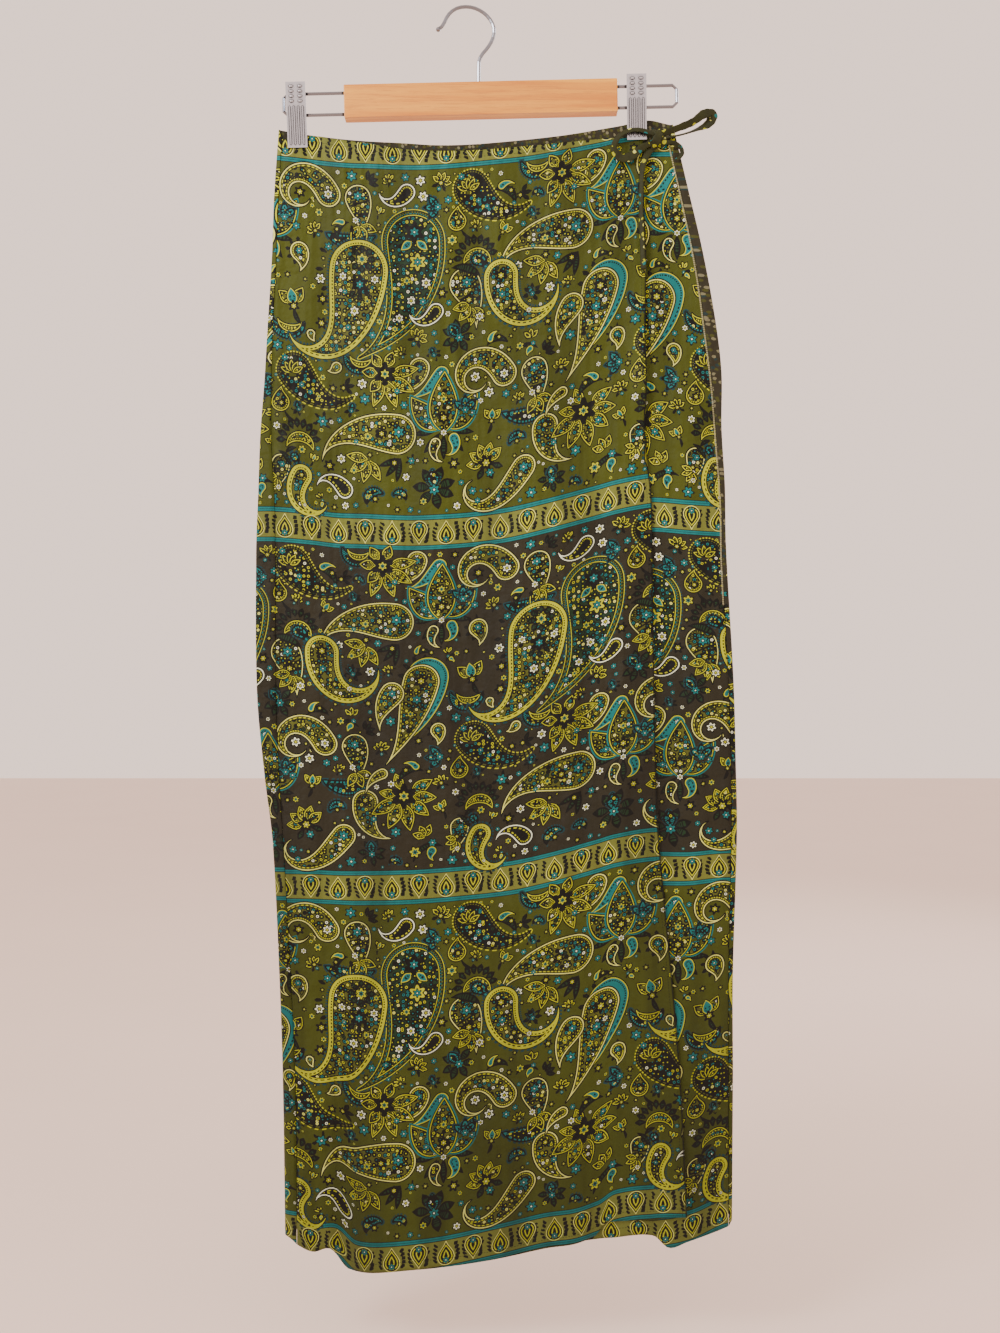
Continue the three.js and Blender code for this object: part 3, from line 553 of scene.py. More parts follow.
def placed(shapes, x, y, turn=0.0, size=1.0, mirror=False):
    angle = math.radians(turn)
    moved = []
    for shape in shapes:
        side = -1 if mirror else 1
        u, v = shape["x"] * side * size, shape["y"] * size
        moved.append({
            **shape,
            "x": x + u * math.cos(angle) - v * math.sin(angle),
            "y": y + u * math.sin(angle) + v * math.cos(angle),
            "turn": turn + (180 - shape["turn"] if mirror else shape["turn"]),
            "bend": shape["bend"] * side,
            "length": shape["length"] * size,
            "radius": shape["radius"] * size,
        })
    return moved


def spine_of(shape):
    """Places along the shape's middle line, their headings and the step between them."""
    share = np.linspace(0, 1, SPINE_STEPS)
    heading = np.radians(shape["turn"] + shape["bend"] * share ** shape["curl"])
    step = shape["length"] / (SPINE_STEPS - 1)
    moves = np.stack([np.cos(heading), np.sin(heading)], 1) * step
    places = np.cumsum(moves, 0) - moves[0] + [shape["x"], shape["y"]]
    return places, heading, step


def drop_fields(shape, points):
    """For each point: its distance across the spine, its place along it, and the radius there."""
    places, heading, step = spine_of(shape)
    profile = PROFILES[shape["profile"]]
    share = np.linspace(0, 1, SPINE_STEPS)
    offset = points[:, None] - places[None]
    inside = shape["radius"] * profile(share) - np.hypot(offset[..., 0], offset[..., 1])
    nearest = inside.argmax(1)
    off = offset[np.arange(len(points)), nearest]
    ahead = np.stack([np.cos(heading[nearest]), np.sin(heading[nearest])], 1)
    along = nearest * step + (off * ahead).sum(1)
    across = ahead[:, 0] * off[:, 1] - ahead[:, 1] * off[:, 0]
    past = np.maximum(along - shape["length"], 0)
    radius = shape["radius"] * profile(np.clip(along / shape["length"], 0, 1)) - past
    return np.stack([across, along, radius], 1)


def flower_fields(shape, points):
    angle = math.radians(shape["turn"])
    u, v = (points - [shape["x"], shape["y"]]).T / shape["radius"]
    across = u * math.cos(angle) + v * math.sin(angle)
    along = v * math.cos(angle) - u * math.sin(angle)
    return np.stack([across, along, np.zeros(len(points))], 1)


def depth_inside(fields):
    """How far inside a drop shape each point lies, in millimetres."""
    return fields[:, 2] - np.hypot(fields[:, 0], np.minimum(fields[:, 1], 0))


# ------------------------------------------------------------- motifs


def spray(style, count, first, last, start, length, radius, profile="petal"):
    """Petals or leaves that fan out round a point."""
    shapes = []
    for i in range(count):
        turn = first + (last - first) * i / max(count - 1, 1)
        x = start * math.cos(math.radians(turn))
        y = start * math.sin(math.radians(turn))
        shapes.append(drop(style, x, y, turn, length, radius, profile=profile))
    return shapes


def drawn(text):
    """The shapes of a motif from its rows, which semicolons divide.

    A row is a flower's style, x, y and radius, or a drop's style, x, y, turn, length, radius, bend,
    curl and profile, or the word fan and a spray's values. A fan's middle stands after an @."""
    shapes = []
    for row in text.split(";"):
        values, _, middle = row.partition("@")
        words = values.split()
        profile = {"profile": words.pop()} if words[-1] in PROFILES else {}
        if words[0] == "fan":
            fan = spray(words[1], int(words[2]), *map(float, words[3:]), **profile)
            shapes += placed(fan, *map(float, middle.split())) if middle else fan
        else:
            make = flower if words[0] in FLOWERS else drop
            shapes.append(make(words[0], *map(float, words[1:]), **profile))
    return shapes


MOTIF_ROWS = {
    "twin_paisley": """
        fan dark 5 150 260 34 7 2 leaf; green 51 -27 84 126 28 68 1.2; dark* 52 -36 10.5;
        teal* 52 -36 5.4; fan teal 2 40 140 4 12 3.6 @ 52 -30; gold* 55 -9 10; teal* 55 -9 4.6;
        white* 63 10 6; gold* 45 8 4.4; white* 49 26 5.4; teal* 60 27 4.4; white* 38 42 5;
        gold* 50 42 4; teal* 26 56 3.6; gold* 34 52 3.4; gold 0 0 96 124 27 150 2.5;
        fan dark 8 0 315 6 7 3.4 @ 3 -10; gold* 3 -10 6.5; dark* 1 13 9; teal* 1 13 4.6;
        fan dark 3 50 130 7 8 2.6 leaf @ 1 13; white* -15 6 4.6; white* 15 8 5;
        white* -4 37 5.6; gold* 8 28 3.6; teal* -13 20 3.2; teal* -10 52 3.6; gold* -15 -6 3;
        gold* 17 -6 3.2; gold* -17 62 2.6""",
    "cream_comma": """
        cream 0 0 186 84 18 -88 2.2; teal* 2 -2 6.4; dark* -14 0 5.6; gold* -27 3 4.4;
        white* -7 9 3; teal* -38 8 3; fan leaf 4 60 190 2 20 5 @ -26 24;
        fan dark 3 100 160 0 22 2.8 leaf @ 4 22; white* -52 24 5.4; dark* -2 26 5;
        gold* -40 34 4.2""",
    "shell_paisley": """
        shell 0 0 56 66 15 -92 1.5; fan leaf 5 200 330 1 11 2.8 @ -2 2; teal* 7 12 3.6;
        teal* 15 18 3.2; teal* -9 -11 4.2; gold* 23 21 2.6;
        fan dark 3 -60 40 1 9 2 leaf @ 47 10; dark* 46 11 4""",
    "bud": """
        dark 4 9 70 15 1.2 -60 leaf; leaf 0 1 -100 15 8.6 30; dark* 1 2 4.6""",
    "lotus": """
        fan dark 5 10 170 6 24 3.4 leaf @ 0 8; teal 10 18 60 22 5 130 1.3;
        bird -8 22 120 24 5 -120 1.3; lotus -3 8 214 44 12 26 petal;
        lotus 4 8 -36 46 12 -26 petal; lotus 0 12 -92 60 15 6 petal; dark* 0 -2 6.8;
        gold* 0 -20 4.4; teal* -17 0 4.2; teal* 18 -2 4.2; white* 0 12 4""",
    "leafy_flower": """
        cream 34 -6 100 34 10 70 1.2; teal* 34 -6 4; fan leaf 4 -10 110 8 26 6;
        fan leaf 4 130 290 8 15 5.4; dark* 0 0 12; gold* 0 0 5.4; teal* 12 16 3.8""",
    "feathered_crescent": """
        fan dark 9 180 350 12 9 3 leaf; leaf -11 6 -80 36 4.6 165 1 leaf;
        dark -12 12 -60 12 2 60 leaf""",
    "gold_mass": """
        bird -34 3 60 44 14 30; teal* -32 2 6; dark* -30 18 6;
        fan leaf 4 60 170 4 16 4.6 @ -26 22; dark -46 -12 -10 30 4 60 leaf;
        blue -22 -18 20 16 5 60; white* -20 34 5; gold 0 0 92 96 15.5 -190 1.4; dark* 0 -1 6.6;
        teal* 1 16 4.4; dark* 12 30 4.6; white* 26 34 3.2""",
    "double_paisley": """
        fan dark 6 190 330 17 7 2.4 leaf @ 14 -2; teal 18 -3 98 74 19.5 40 2;
        cream 12 1 104 88 17 24 2; dark* 12 0 7.6; teal* 8 18 5.4; white* 16 14 3.4;
        gold* 2 32 3.8; dark* 2 44 3; cream -15 12 128 40 11 -50 1.4; teal* -15 12 4.6;
        gold* -22 22 2.8""",
    "teal_comma": """
        teal 0 0 130 40 6.6 50 2; white* 0 0 3.4; leaf -22 30 20 16 1.8 -70 leaf""",
    "scroll": """
        cream 0 0 240 92 11.5 -300 1.5; white* 0 0 5.4; blue 44 36 150 48 6.4 60 1 leaf;
        bird 28 2 70 36 12 30; teal* 28 0 5.2; white* 26 22 4;
        fan leaf 3 20 120 2 15 4.4 @ 30 26; fan dark 4 -80 10 3 9 2.2 leaf @ 36 -12;
        teal* -30 32 4.6; white* -22 22 3.4""",
    "spiral_comma": """
        cream 0 0 128 88 11 210 2.6; teal* 0 0 5.6; dark* -11 15 3.4; teal* -43 24 3.6""",
    "leaf_cluster": """
        cream -36 6 96 50 12 -100 1.4; cream -20 -22 160 26 5 -60; dark* -36 4 5;
        teal* -28 22 3.8; fan leaf 3 -30 40 9 22 6; fan leaf 3 80 150 9 26 6.4;
        fan leaf 2 190 250 8 16 5; dark* 0 0 13; gold* 0 0 6; teal* 14 12 4.4;
        white* -12 -12 4.4; teal* 18 -10 3.6""",
    "blue_crescent": """
        blue -8 -8 80 38 5 -150 1 leaf; leaf -3 -7 70 26 3 -130 1 leaf""",
    "hook_paisley": """
        white 0 0 128 34 7.6 130 1.6""",
    "point_flower": """
        fan blue 3 130 230 1 12 3; teal* 0 0 4.4; dark* 8 3 3.6""",
}
# One repeat of the field between two bands, in millimetres from its left and from the upper
# band. A row with twice set comes again half a repeat to the left and half a field lower.
FIELD_WIDTH = 335.0
FIELD_TOP = BAND_EDGE
HALF_DROP = (-165.5, 169.0)
# Columns: motif, x, y, turn, size, mirror, twice.
PLACES = """
    hook_paisley 69 291 180 1 1 0
    blue_crescent 242 8 0 1 0 1
    blue_crescent 344 150 0 1.1 0 0
    leafy_flower 272 16 0 0.95 0 1
    teal_comma 325 16 0 1 0 1
    lotus 327 58 0 0.95 0 1
    cream_comma 283 70 0 1 0 1
    feathered_crescent 191 82 0 1 0 1
    scroll 218 190 0 1 0 0
    scroll 53 25 0 1 0 0
    shell_paisley 187 19 0 1 0 1
    bud 174 47 0 1 0 1
    gold_mass 215 102 0 1 0 0
    gold_mass 28 282 30 0.62 0 0
    double_paisley 296 128 0 1 0 0
    leaf_cluster 292 240 0 1 0 0
    spiral_comma 236 278 0 1 0 0
    twin_paisley 82 92 0 1 0 0
    hook_paisley 127 20 0 1 0 0
    hook_paisley 154 128 0 0.95 0 0
    point_flower 156 34 0 1 0 1
    point_flower 12 50 90 1 0 1
"""
FILLER_SEED = 11
FILLER_TRIES = 6600
FILLER_CLEAR = 0.8
FILLER_ROOMS = (21, 17, 14, 11.5, 9.5, 7.6, 6, 4.6, 3.5, 2.7, 2.0)
SMALLEST_GROUP = 7.0
TINY_FLOWERS = ("dark*", "teal*", "gold*", "white*", "dark*", "teal*")


GROUP_ROWS = {  # small motifs that fill the open ground
    "leaf_fan": """
        fan leaf 5 -160 -20 2 8.4 2.7; fan dark 3 40 140 3 6 1.7 leaf; dark* 0 0 4.6;
        teal* 0 5.4 2.6""",
    "small_paisley": """
        fan dark 5 150 300 5.4 3.6 1.3 leaf @ 1 -3; cream 1 -3 96 13 5.8 66 1.3;
        teal* 1 -3.4 2.7""",
    "teal_bloom": """
        fan dark 6 20 320 5 4.6 1.7 leaf; teal* 0 0 6.2; white* 6.6 5 2.8; gold* -6 5.4 2.6""",
    "curled_sprig": """
        dark -8 6 -50 20 1.5 110 leaf; gold* 6 3 3.6; fan leaf 3 -130 -40 1 6.4 2.1 @ -2 -2;
        teal* -4 2 2.6; teal -2 6 30 6 2.2 90""",
    "beaded_crescent": """
        blue -7 3 -66 19 3.2 140 1 leaf; dark* 0 4 3.4; gold* 4.4 0 2.2""",
    "bell_flower": """
        dark 0 2 80 9 1.2 50 leaf; fan leaf 2 -130 -50 1 9 3; teal 0 0 -90 8 2.6 0 petal;
        dark* 0 1 3.2""",
    "dark_sprig": """
        fan dark 7 -170 150 2 9 2.5 leaf; blue 0 0 -90 9 2.8 leaf; teal* 0 1 3.4; gold* 6 6 2.2""",
    "curled_leaf": """
        dark -8 8 -40 24 3 120 leaf; teal -3 4 -60 11 2.4 80; dark* 5 6 3.4; white* -6 -5 2.4""",
}
GROUPS = [drawn(rows) for rows in GROUP_ROWS.values()]
GROUP_REACH = 11.5


def field_repeat():
    shapes = []
    for row in PLACES.strip().splitlines():
        name, *values = row.split()
        x, y, turn, size, mirror, twice = map(float, values)
        motif = drawn(MOTIF_ROWS[name])
        shapes += placed(motif, x, y, turn, size, mirror)
        if twice:
            shapes += placed(motif, x + HALF_DROP[0], y + HALF_DROP[1], turn, size, mirror)
    return shapes + fillers(shapes)


def open_room(points, shapes):
    """How far each point of the field lies from the nearest shape."""
    room = np.full(len(points), 40.0)
    for shape in shapes:
        reach = shape["radius"] + shape["length"] + 24
        for shift in (-FIELD_WIDTH, 0, FIELD_WIDTH):
            at = points - [shift, 0]
            near = np.nonzero(np.abs(at - [shape["x"], shape["y"]]).max(1) < reach)[0]
            if not len(near):
                continue
            if shape["profile"]:
                inside = depth_inside(drop_fields(shape, at[near]))
            else:
                inside = shape["radius"] - np.hypot(*(at[near] - [shape["x"], shape["y"]]).T)
            room[near] = np.minimum(room[near], -inside)
    return room


def fillers(shapes):
    """Small motifs packed on to the open ground, the largest first."""
    dice = random.Random(FILLER_SEED)
    height = BAND_PITCH - 2 * BAND_EDGE
    points = np.array([(dice.uniform(0, FIELD_WIDTH), dice.uniform(0, height))
                       for _ in range(FILLER_TRIES)])
    room = np.minimum(open_room(points, shapes), np.minimum(points[:, 1], height - points[:, 1]))
    strewn = []
    for size in FILLER_ROOMS:
        for i in range(len(points)):
            if room[i] < size + FILLER_CLEAR:
                continue
            if size > SMALLEST_GROUP:
                group, turn = dice.choice(GROUPS), dice.uniform(-40, 40)
                mirror = dice.random() < 0.5
                strewn += placed(group, *points[i], turn, size / GROUP_REACH, mirror)
            else:
                strewn.append(flower(dice.choice(TINY_FLOWERS), *points[i], size, dice.uniform(0, 60)))
            for shift in (-FIELD_WIDTH, 0, FIELD_WIDTH):
                away = np.hypot(*(points - points[i] - [shift, 0]).T) - size
                room = np.minimum(room, away)
    return strewn


DROP_PITCH = 25.2


def band_repeat():
    """Two drops of a band, one up and one down, with dark leaves along both sides of each."""
    shapes = []
    for i, turn in enumerate((-90, 90)):
        down = 1 if turn < 0 else -1
        x = (i + 0.5) * DROP_PITCH
        for side in (-1, 1):
            for leaf in range(5):
                at = (x + side * (10.0 - abs(leaf - 1.4) * 0.8), down * (7.8 - leaf * 3.6))
                shapes.append(drop("dark", *at, turn + side * 48, 4.0, 2.1, profile="leaf"))
        shapes.append(drop("drop", x, down * 3.4, turn, 14.5, 7.6))
        shapes.append(flower("teal*", x, down * 6.8, 3.9))
    return shapes


def print_shapes(low, high):
    """All shapes of the print that reach between two corners of the cloth."""
    field, band = field_repeat(), band_repeat()
    shapes = []
    margin = 60
    for number in range(4):
        top = number * BAND_PITCH
        for shape_set, width, at, shift in (
            (field, FIELD_WIDTH, top + FIELD_TOP, FIELD_WIDTH / 2 if number == 1 else 0),
            (band, 2 * DROP_PITCH, top, 0),
        ):
            if shape_set is field and number == 3:
                continue
            first = math.floor((low[0] - margin - shift) / width)
            last = math.ceil((high[0] + margin - shift) / width)
            for i in range(first, last + 1):
                shapes += placed(shape_set, i * width + shift, at)
    return shapes


OUTER_REACH = 4.4
FLOWER_REACH = 2.4


def lay_print(points, quads):
    """For each face, the fields and styles of the topmost shapes on it."""
    count = len(quads)
    centres = points[quads].mean(1)
    fields = np.zeros((len(LAYERS), count, 4, 3), np.float32)
    styles = np.full((count, len(LAYERS)), NO_STYLE, np.float32)
    for shape in print_shapes(points.min(0), points.max(0)):
        at = np.array([[shape["x"], shape["y"]]])
        line = spine_of(shape)[0] if shape["profile"] else at
        reach = shape["radius"] + OUTER_REACH + 3
        here = (centres > line.min(0) - reach).all(1) & (centres < line.max(0) + reach).all(1)
        near = np.nonzero(here)[0]
        if not len(near):
            continue
        vertices, corner = np.unique(quads[near], return_inverse=True)
        corner = corner.reshape(-1, 4)
        if shape["profile"]:
            found = drop_fields(shape, points[vertices])
            edge = OUTER_REACH if shape["style"] in ("gold", "green", "shell", "blue") else 2.0
            hit = depth_inside(found)[corner].max(1) > -edge
        else:
            found = flower_fields(shape, points[vertices])
            hit = np.hypot(*(centres[near] - at).T) < shape["radius"] + FLOWER_REACH
        chosen = near[hit]
        fields[1:, chosen] = fields[:-1, chosen]
        styles[chosen, 1:] = styles[chosen, :-1]
        fields[0, chosen] = found[corner][hit]
        styles[chosen, 0] = STYLES.index(shape["style"])
    return fields, styles


# ------------------------------------------------------------- the skirt's form

CLOTH = 0.7
HEM_EXTRA = 0.45
HEM_WIDTH = 9.0
UNDER_STEP = 1.7
LAYER_EASE = 0.7
GAP = 0.4
WAIST_LEVEL = -119.0
PINCHED_DEPTH = 2.1
CLIPS = (-157.5, 160.5)
WAIST_BULGE = {"front": 4.4, "back": 2.4, "flat": 15.0, "reach": 80.0}
PINCH_TOP = -136.0
PINCH_END = -345.0
FULLNESS = {"front": 13.0, "back": 8.0}
CORNER_POWER = (10.0, 7.0)
TURN_REACH = 16.0


def table(columns, rows):
    """A table as arrays by column, in rising order of its first column."""
    ordered = sorted(rows)
    return {name: np.array([row[i] for row in ordered]) for i, name in enumerate(columns.split())}


OUTLINE = table("z left leftSeam wrap rightSeam right", [
    (-109, -174, -171, 168, 190, 193), (-181, -179, -175, 168, 206, 210),
    (-237, -181, -177, 170, 217, 223), (-302, -185, -180, 169, 226, 235),
    (-353, -188, -181, 170, 232, 241), (-405, -192, -181, 168.5, 236, 241),
    (-460, -194, -178, 174.5, 240, 244), (-516, -196, -177, 175.5, 241, 245),
    (-646, -195, -176, 177, 247, 252), (-721, -188, -173, 178.5, 249, 254),
    (-786, -180, -169, 181, 249, 255), (-925, -173, -161, 193.5, 246, 251),
    (-1018, -170, -157, 201, 246, 251), (-1150, -168, -156, 206.5, 246, 250),
])
WAIST = table("x front back", [
    (-174, -121.8, -112), (-143, -118.5, -117), (-110, -123.7, -120.4), (-60, -132, -123),
    (-25, -134, -125), (15, -133, -123.7), (89, -126.5, -116.3), (145, -120, -108),
    (171, -121.8, -102.6), (193, -126, -107),
])
HEM = table("x over under back", [
    (-168, -1147, -1142, -1146), (-142, -1160, -1150, -1150), (-125, -1158, -1154, -1152),
    (-108, -1176, -1158, -1160), (-40, -1176, -1164, -1164), (21, -1168, -1160, -1160),
    (73, -1157, -1152, -1150), (122, -1146, -1150, -1140), (131, -1134, -1149, -1138),
    (175, -1130, -1145, -1136), (190, -1128, -1157, -1136), (207, -1127, -1152, -1134),
    (249, -1125, -1136, -1132),
])
# Folds: x where a fold starts and ends, its upper and lower end, width and height.
FRONT_FOLDS = [
    (-33, -28, -300, -560, 24, 3), (8, 14, -240, -620, 30, -2.5), (60, 66, -540, -1120, 40, 3),
    (128, 124, -760, -1190, 15, -4), (104, 99, -820, -1190, 16, 2.5),
    (-112, -118, -1000, -1200, 13, -4), (-84, -92, -880, -1200, 18, 2.5),
    (-120, -126, -330, -760, 28, -2.5), (205, 214, -240, -900, 14, 1.5),
    (118, 104, -500, -860, 6, -1.3), (111, 96, -480, -900, 7, 1.1), (-62, -70, -420, -720, 9, 0.8),
    (92, 84, -560, -760, 8, -0.8), (150, 146, -300, -600, 8, 0.8), (-140, -150, -560, -900, 9, 0.8),
    (30, 40, -700, -1000, 9, -0.8), (-20, -10, -780, -1060, 8, 0.8),
    (-150, -142, -820, -1100, 8, -0.8), (160, 176, -880, -1180, 8, 0.9),
    (224, 226, -560, -1000, 7, -0.8), (70, 62, -200, -420, 10, 0.8),
]
BACK_FOLDS = [
    (-96, -110, -300, -900, 26, 2), (-30, -22, -420, -1180, 30, -2.5), (44, 56, -260, -820, 28, 2),
    (112, 128, -560, -1190, 24, -3), (178, 190, -380, -1000, 22, 1.5),
    (-140, -132, -640, -1100, 9, 0.9),
    (-60, -70, -240, -620, 10, -0.8), (10, 4, -700, -1190, 9, 1.0), (84, 96, -300, -620, 9, -0.9),
    (150, 140, -720, -1190, 10, 1.0), (212, 204, -500, -900, 8, -0.8),
]
FOLD_OPEN_BELOW = -1150.0
EDGE_LIFTS = [(-205, 45, 30, 1.5), (-350, 50, 34, 6), (-640, 120, 40, 1.5), (-1120, 70, 40, 3)]
WAVES = [(46.0, 210.0, 0.5), (31.0, -160.0, 0.32), (-23.0, 90.0, 0.2)]  # across, down, height


def smooth(start, end, at):
    share = np.clip((at - start) / (end - start), 0, 1)
    return share * share * (3 - 2 * share)


def mix(low, high, share):
    return low + (high - low) * share


def read(rows, key, column, at):
    """One column of a table at any key, on a smooth curve through its rows."""
    keys, values = rows[key], rows[column]
    at = np.clip(at, keys[0], keys[-1])
    upper = np.clip(np.searchsorted(keys, at), 1, len(keys) - 1)
    low = upper - 1
    before, after = np.maximum(low - 1, 0), np.minimum(upper + 1, len(keys) - 1)
    span = keys[upper] - keys[low]
    in_slope = (values[upper] - values[before]) / (keys[upper] - keys[before]) * span
    out_slope = (values[after] - values[low]) / (keys[after] - keys[low]) * span
    share = (at - keys[low]) / span
    rise = share * share * (3 - 2 * share)
    ease = share * (1 - share)
    return mix(values[low], values[upper], rise) + ease * ((1 - share) * in_slope - share * out_slope)


def fold_height(folds, x, z):
    height = 0.0
    for x_top, x_end, top, end, width, rise in folds:
        along = np.clip((z - top) / (end - top), 0, 1)
        fade = np.sin(np.pi * np.minimum(along, 0.5 if end < FOLD_OPEN_BELOW else 1))
        height = height + rise * fade * np.exp(-(((x - mix(x_top, x_end, along)) / width) ** 2))
    for across, down, rise in WAVES:
        height = height + rise * np.sin(x / across * 2 + z / down * 2) * np.sin(z / 37 + x / 90)
    return height


def openness(z):
    return smooth(PINCH_TOP, PINCH_END, z)


def half_depth(side, x, z):
    nearest = np.minimum(np.abs(x - CLIPS[0]), np.abs(x - CLIPS[1]))
    between = (x > CLIPS[0]) & (x < CLIPS[1])
    bulge = WAIST_BULGE[side] * between * smooth(WAIST_BULGE["flat"], WAIST_BULGE["reach"], nearest)
    down = np.clip((z - PINCH_TOP) / (HEM_LEVEL - PINCH_TOP), 0, 1)
    folds = fold_height(FRONT_FOLDS if side == "front" else BACK_FOLDS, x, z)
    return PINCHED_DEPTH + mix(bulge, FULLNESS[side], down) + folds * openness(z)


def side_rounding(x, z, level, inset):
    left = read(OUTLINE, "z", "left", level) + inset
    right = read(OUTLINE, "z", "right", level) - inset
    power = mix(*CORNER_POWER, openness(z))
    share = np.minimum(1, np.abs(x - (left + right) / 2) / ((right - left) / 2))
    return (1 - share ** power) ** (1 / power)


def height_at(share, x, waist_column, hem_column):
    return mix(read(WAIST, "x", waist_column, x), read(HEM, "x", hem_column, x), share)


def edge_lift(x, z, wrap):
    lift = 0.0
    for at, length, reach, rise in EDGE_LIFTS:
        share = np.clip(1 - (wrap - x) / reach, 0, 1) ** 2
        lift = lift + rise * share * np.exp(-(((z - at) / length) ** 2))
    return lift


# Heights of the middles of the print's bands on the hanging cloth, by x.
OVER_BANDS = table("x waist second third hem", [
    (-190, -124.6, -483.6, -820.3, -1136), (-174, -124.6, -483.6, -821.2, -1136),
    (-142, -128.3, -486.4, -821.2, -1149.5), (-120, -131.1, -489.2, -822.1, -1150.4),
    (-100, -133, -490.1, -822.1, -1165), (-39, -134.9, -492, -820.3, -1164),
    (33, -129.3, -485.5, -813.8, -1149.5),
    (72, -124.6, -477.1, -806.3, -1140), (124, -113.5, -463.1, -792.4, -1129.6),
    (140, -109.7, -458.5, -787.7, -1118.4), (173, -105.1, -452, -782.1, -1113),
    (206, -103, -450, -782, -1112),
])
UNDER_BANDS = table("x waist second third hem", [
    (-100, -134, -491, -822, -1146), (60, -130, -486, -815, -1146), (140, -122, -478, -806, -1140),
    (175, -120.9, -474.3, -804.5, -1143), (209, -120.9, -477.1, -804.5, -1138),
    (240, -119, -479, -801.7, -1124),
    (260, -119, -479, -801.7, -1122),
])
BACK_BANDS = table("x waist second third hem", [
    (-200, -124, -483, -820, -1135), (0, -126, -484, -815, -1148), (120, -122, -480, -808, -1136),
    (260, -119, -479, -802, -1122),
])
BAND_COLUMNS = ("waist", "second", "third", "hem")


def down_the_print(bands, x, z):
    """How far down the print a point of the cloth lies, from the waist band's middle."""
    levels = [read(bands, "x", name, x) for name in BAND_COLUMNS]
    down = np.zeros_like(z)
    for number in range(len(levels) - 1):
        share = (levels[number] - z) / (levels[number] - levels[number + 1])
        here = share > 0 if number else share > -1e3
        down = np.where(here, (number + share) * BAND_PITCH, down)
    return down


# ------------------------------------------------------------- cloth meshes


def shell(name, outer, inner, cloth, edge, materials):
    """A thin closed shell between two grids of points, printed on its outer face."""
    rows, columns = outer.shape[:2]
    count = rows * columns
    index = np.arange(count).reshape(rows, columns)
    quads = np.stack([index[:-1, :-1], index[1:, :-1], index[1:, 1:], index[:-1, 1:]], -1)
    quads = quads.reshape(-1, 4)
    back = quads[:, ::-1] + count
    rim = []
    for line in (index[0], index[:, -1], index[-1][::-1], index[::-1, 0]):
        rim.append(np.stack([line[:-1], line[1:], line[1:] + count, line[:-1] + count], -1))
    rim = np.concatenate(rim)
    faces = np.concatenate([quads, back, rim])
    mesh = bpy.data.meshes.new(name)
    mesh.from_pydata(np.concatenate([outer, inner]).reshape(-1, 3) * MM, [], faces.tolist())
    for material in materials:
        mesh.materials.append(material)
    slots = np.zeros(len(faces), np.int32)
    slots[len(quads):len(quads) * 2] = 1
    mesh.polygons.foreach_set("material_index", slots)
    mesh.polygons.foreach_set("use_smooth", np.ones(len(faces), bool))
    flat = cloth.reshape(-1, 2)
    fields, styles = lay_print(flat, quads)
    padding = len(faces) - len(quads)
    for layer, layer_name in enumerate(LAYERS):
        values = np.concatenate([fields[layer].reshape(-1, 3), np.zeros((padding * 4, 3))])
        mesh.attributes.new(layer_name, "FLOAT_VECTOR", "CORNER").data.foreach_set(
            "vector", values.astype(np.float32).ravel())
    values = np.concatenate([styles, np.full((padding, len(LAYERS)), NO_STYLE)]).astype(np.float32)
    mesh.attributes.new("print_styles", "FLOAT_VECTOR", "FACE").data.foreach_set(
        "vector", values[:, :3].ravel())
    mesh.attributes.new("print_style_last", "FLOAT", "FACE").data.foreach_set(
        "value", values[:, 3].copy())
    for key, grid in (("cloth", np.dstack([cloth, np.zeros(cloth.shape[:2])])), ("edge", edge)):
        values = np.concatenate([grid.reshape(-1, 3)] * 2).astype(np.float32)
        mesh.attributes.new(key, "FLOAT_VECTOR", "POINT").data.foreach_set("vector", values.ravel())
    mesh.update()
    piece = bpy.data.objects.new(name, mesh)
    bpy.context.scene.collection.objects.link(piece)
    return piece, cut_size(outer)


def cut_size(grid):
    """Width, length and area in metres of the flat cloth that a grid of points was made from."""
    row_widths = np.linalg.norm(np.diff(grid, axis=1), axis=2).sum(1)
    column_lengths = np.linalg.norm(np.diff(grid, axis=0), axis=2).sum(0)
    first = np.cross(grid[1:, :-1] - grid[:-1, :-1], grid[:-1, 1:] - grid[:-1, :-1])
    second = np.cross(grid[1:, :-1] - grid[1:, 1:], grid[:-1, 1:] - grid[1:, 1:])
    area = (np.linalg.norm(first, axis=2).sum() + np.linalg.norm(second, axis=2).sum()) / 2
    return row_widths.max() * MM, column_lengths.max() * MM, area * MM * MM


GRID = 3.4
ROWS = round((WAIST_LEVEL - HEM_LEVEL) / GRID)
ROW_SHARES = np.linspace(0, 1, ROWS + 1)[:, None]
LEVELS = mix(WAIST_LEVEL, HEM_LEVEL, ROW_SHARES)


def hem_thickness(edge):
    nearest = np.minimum(np.minimum(edge[..., 0], edge[..., 1]), np.abs(edge[..., 2]))
    return CLOTH + HEM_EXTRA * (nearest < HEM_WIDTH)


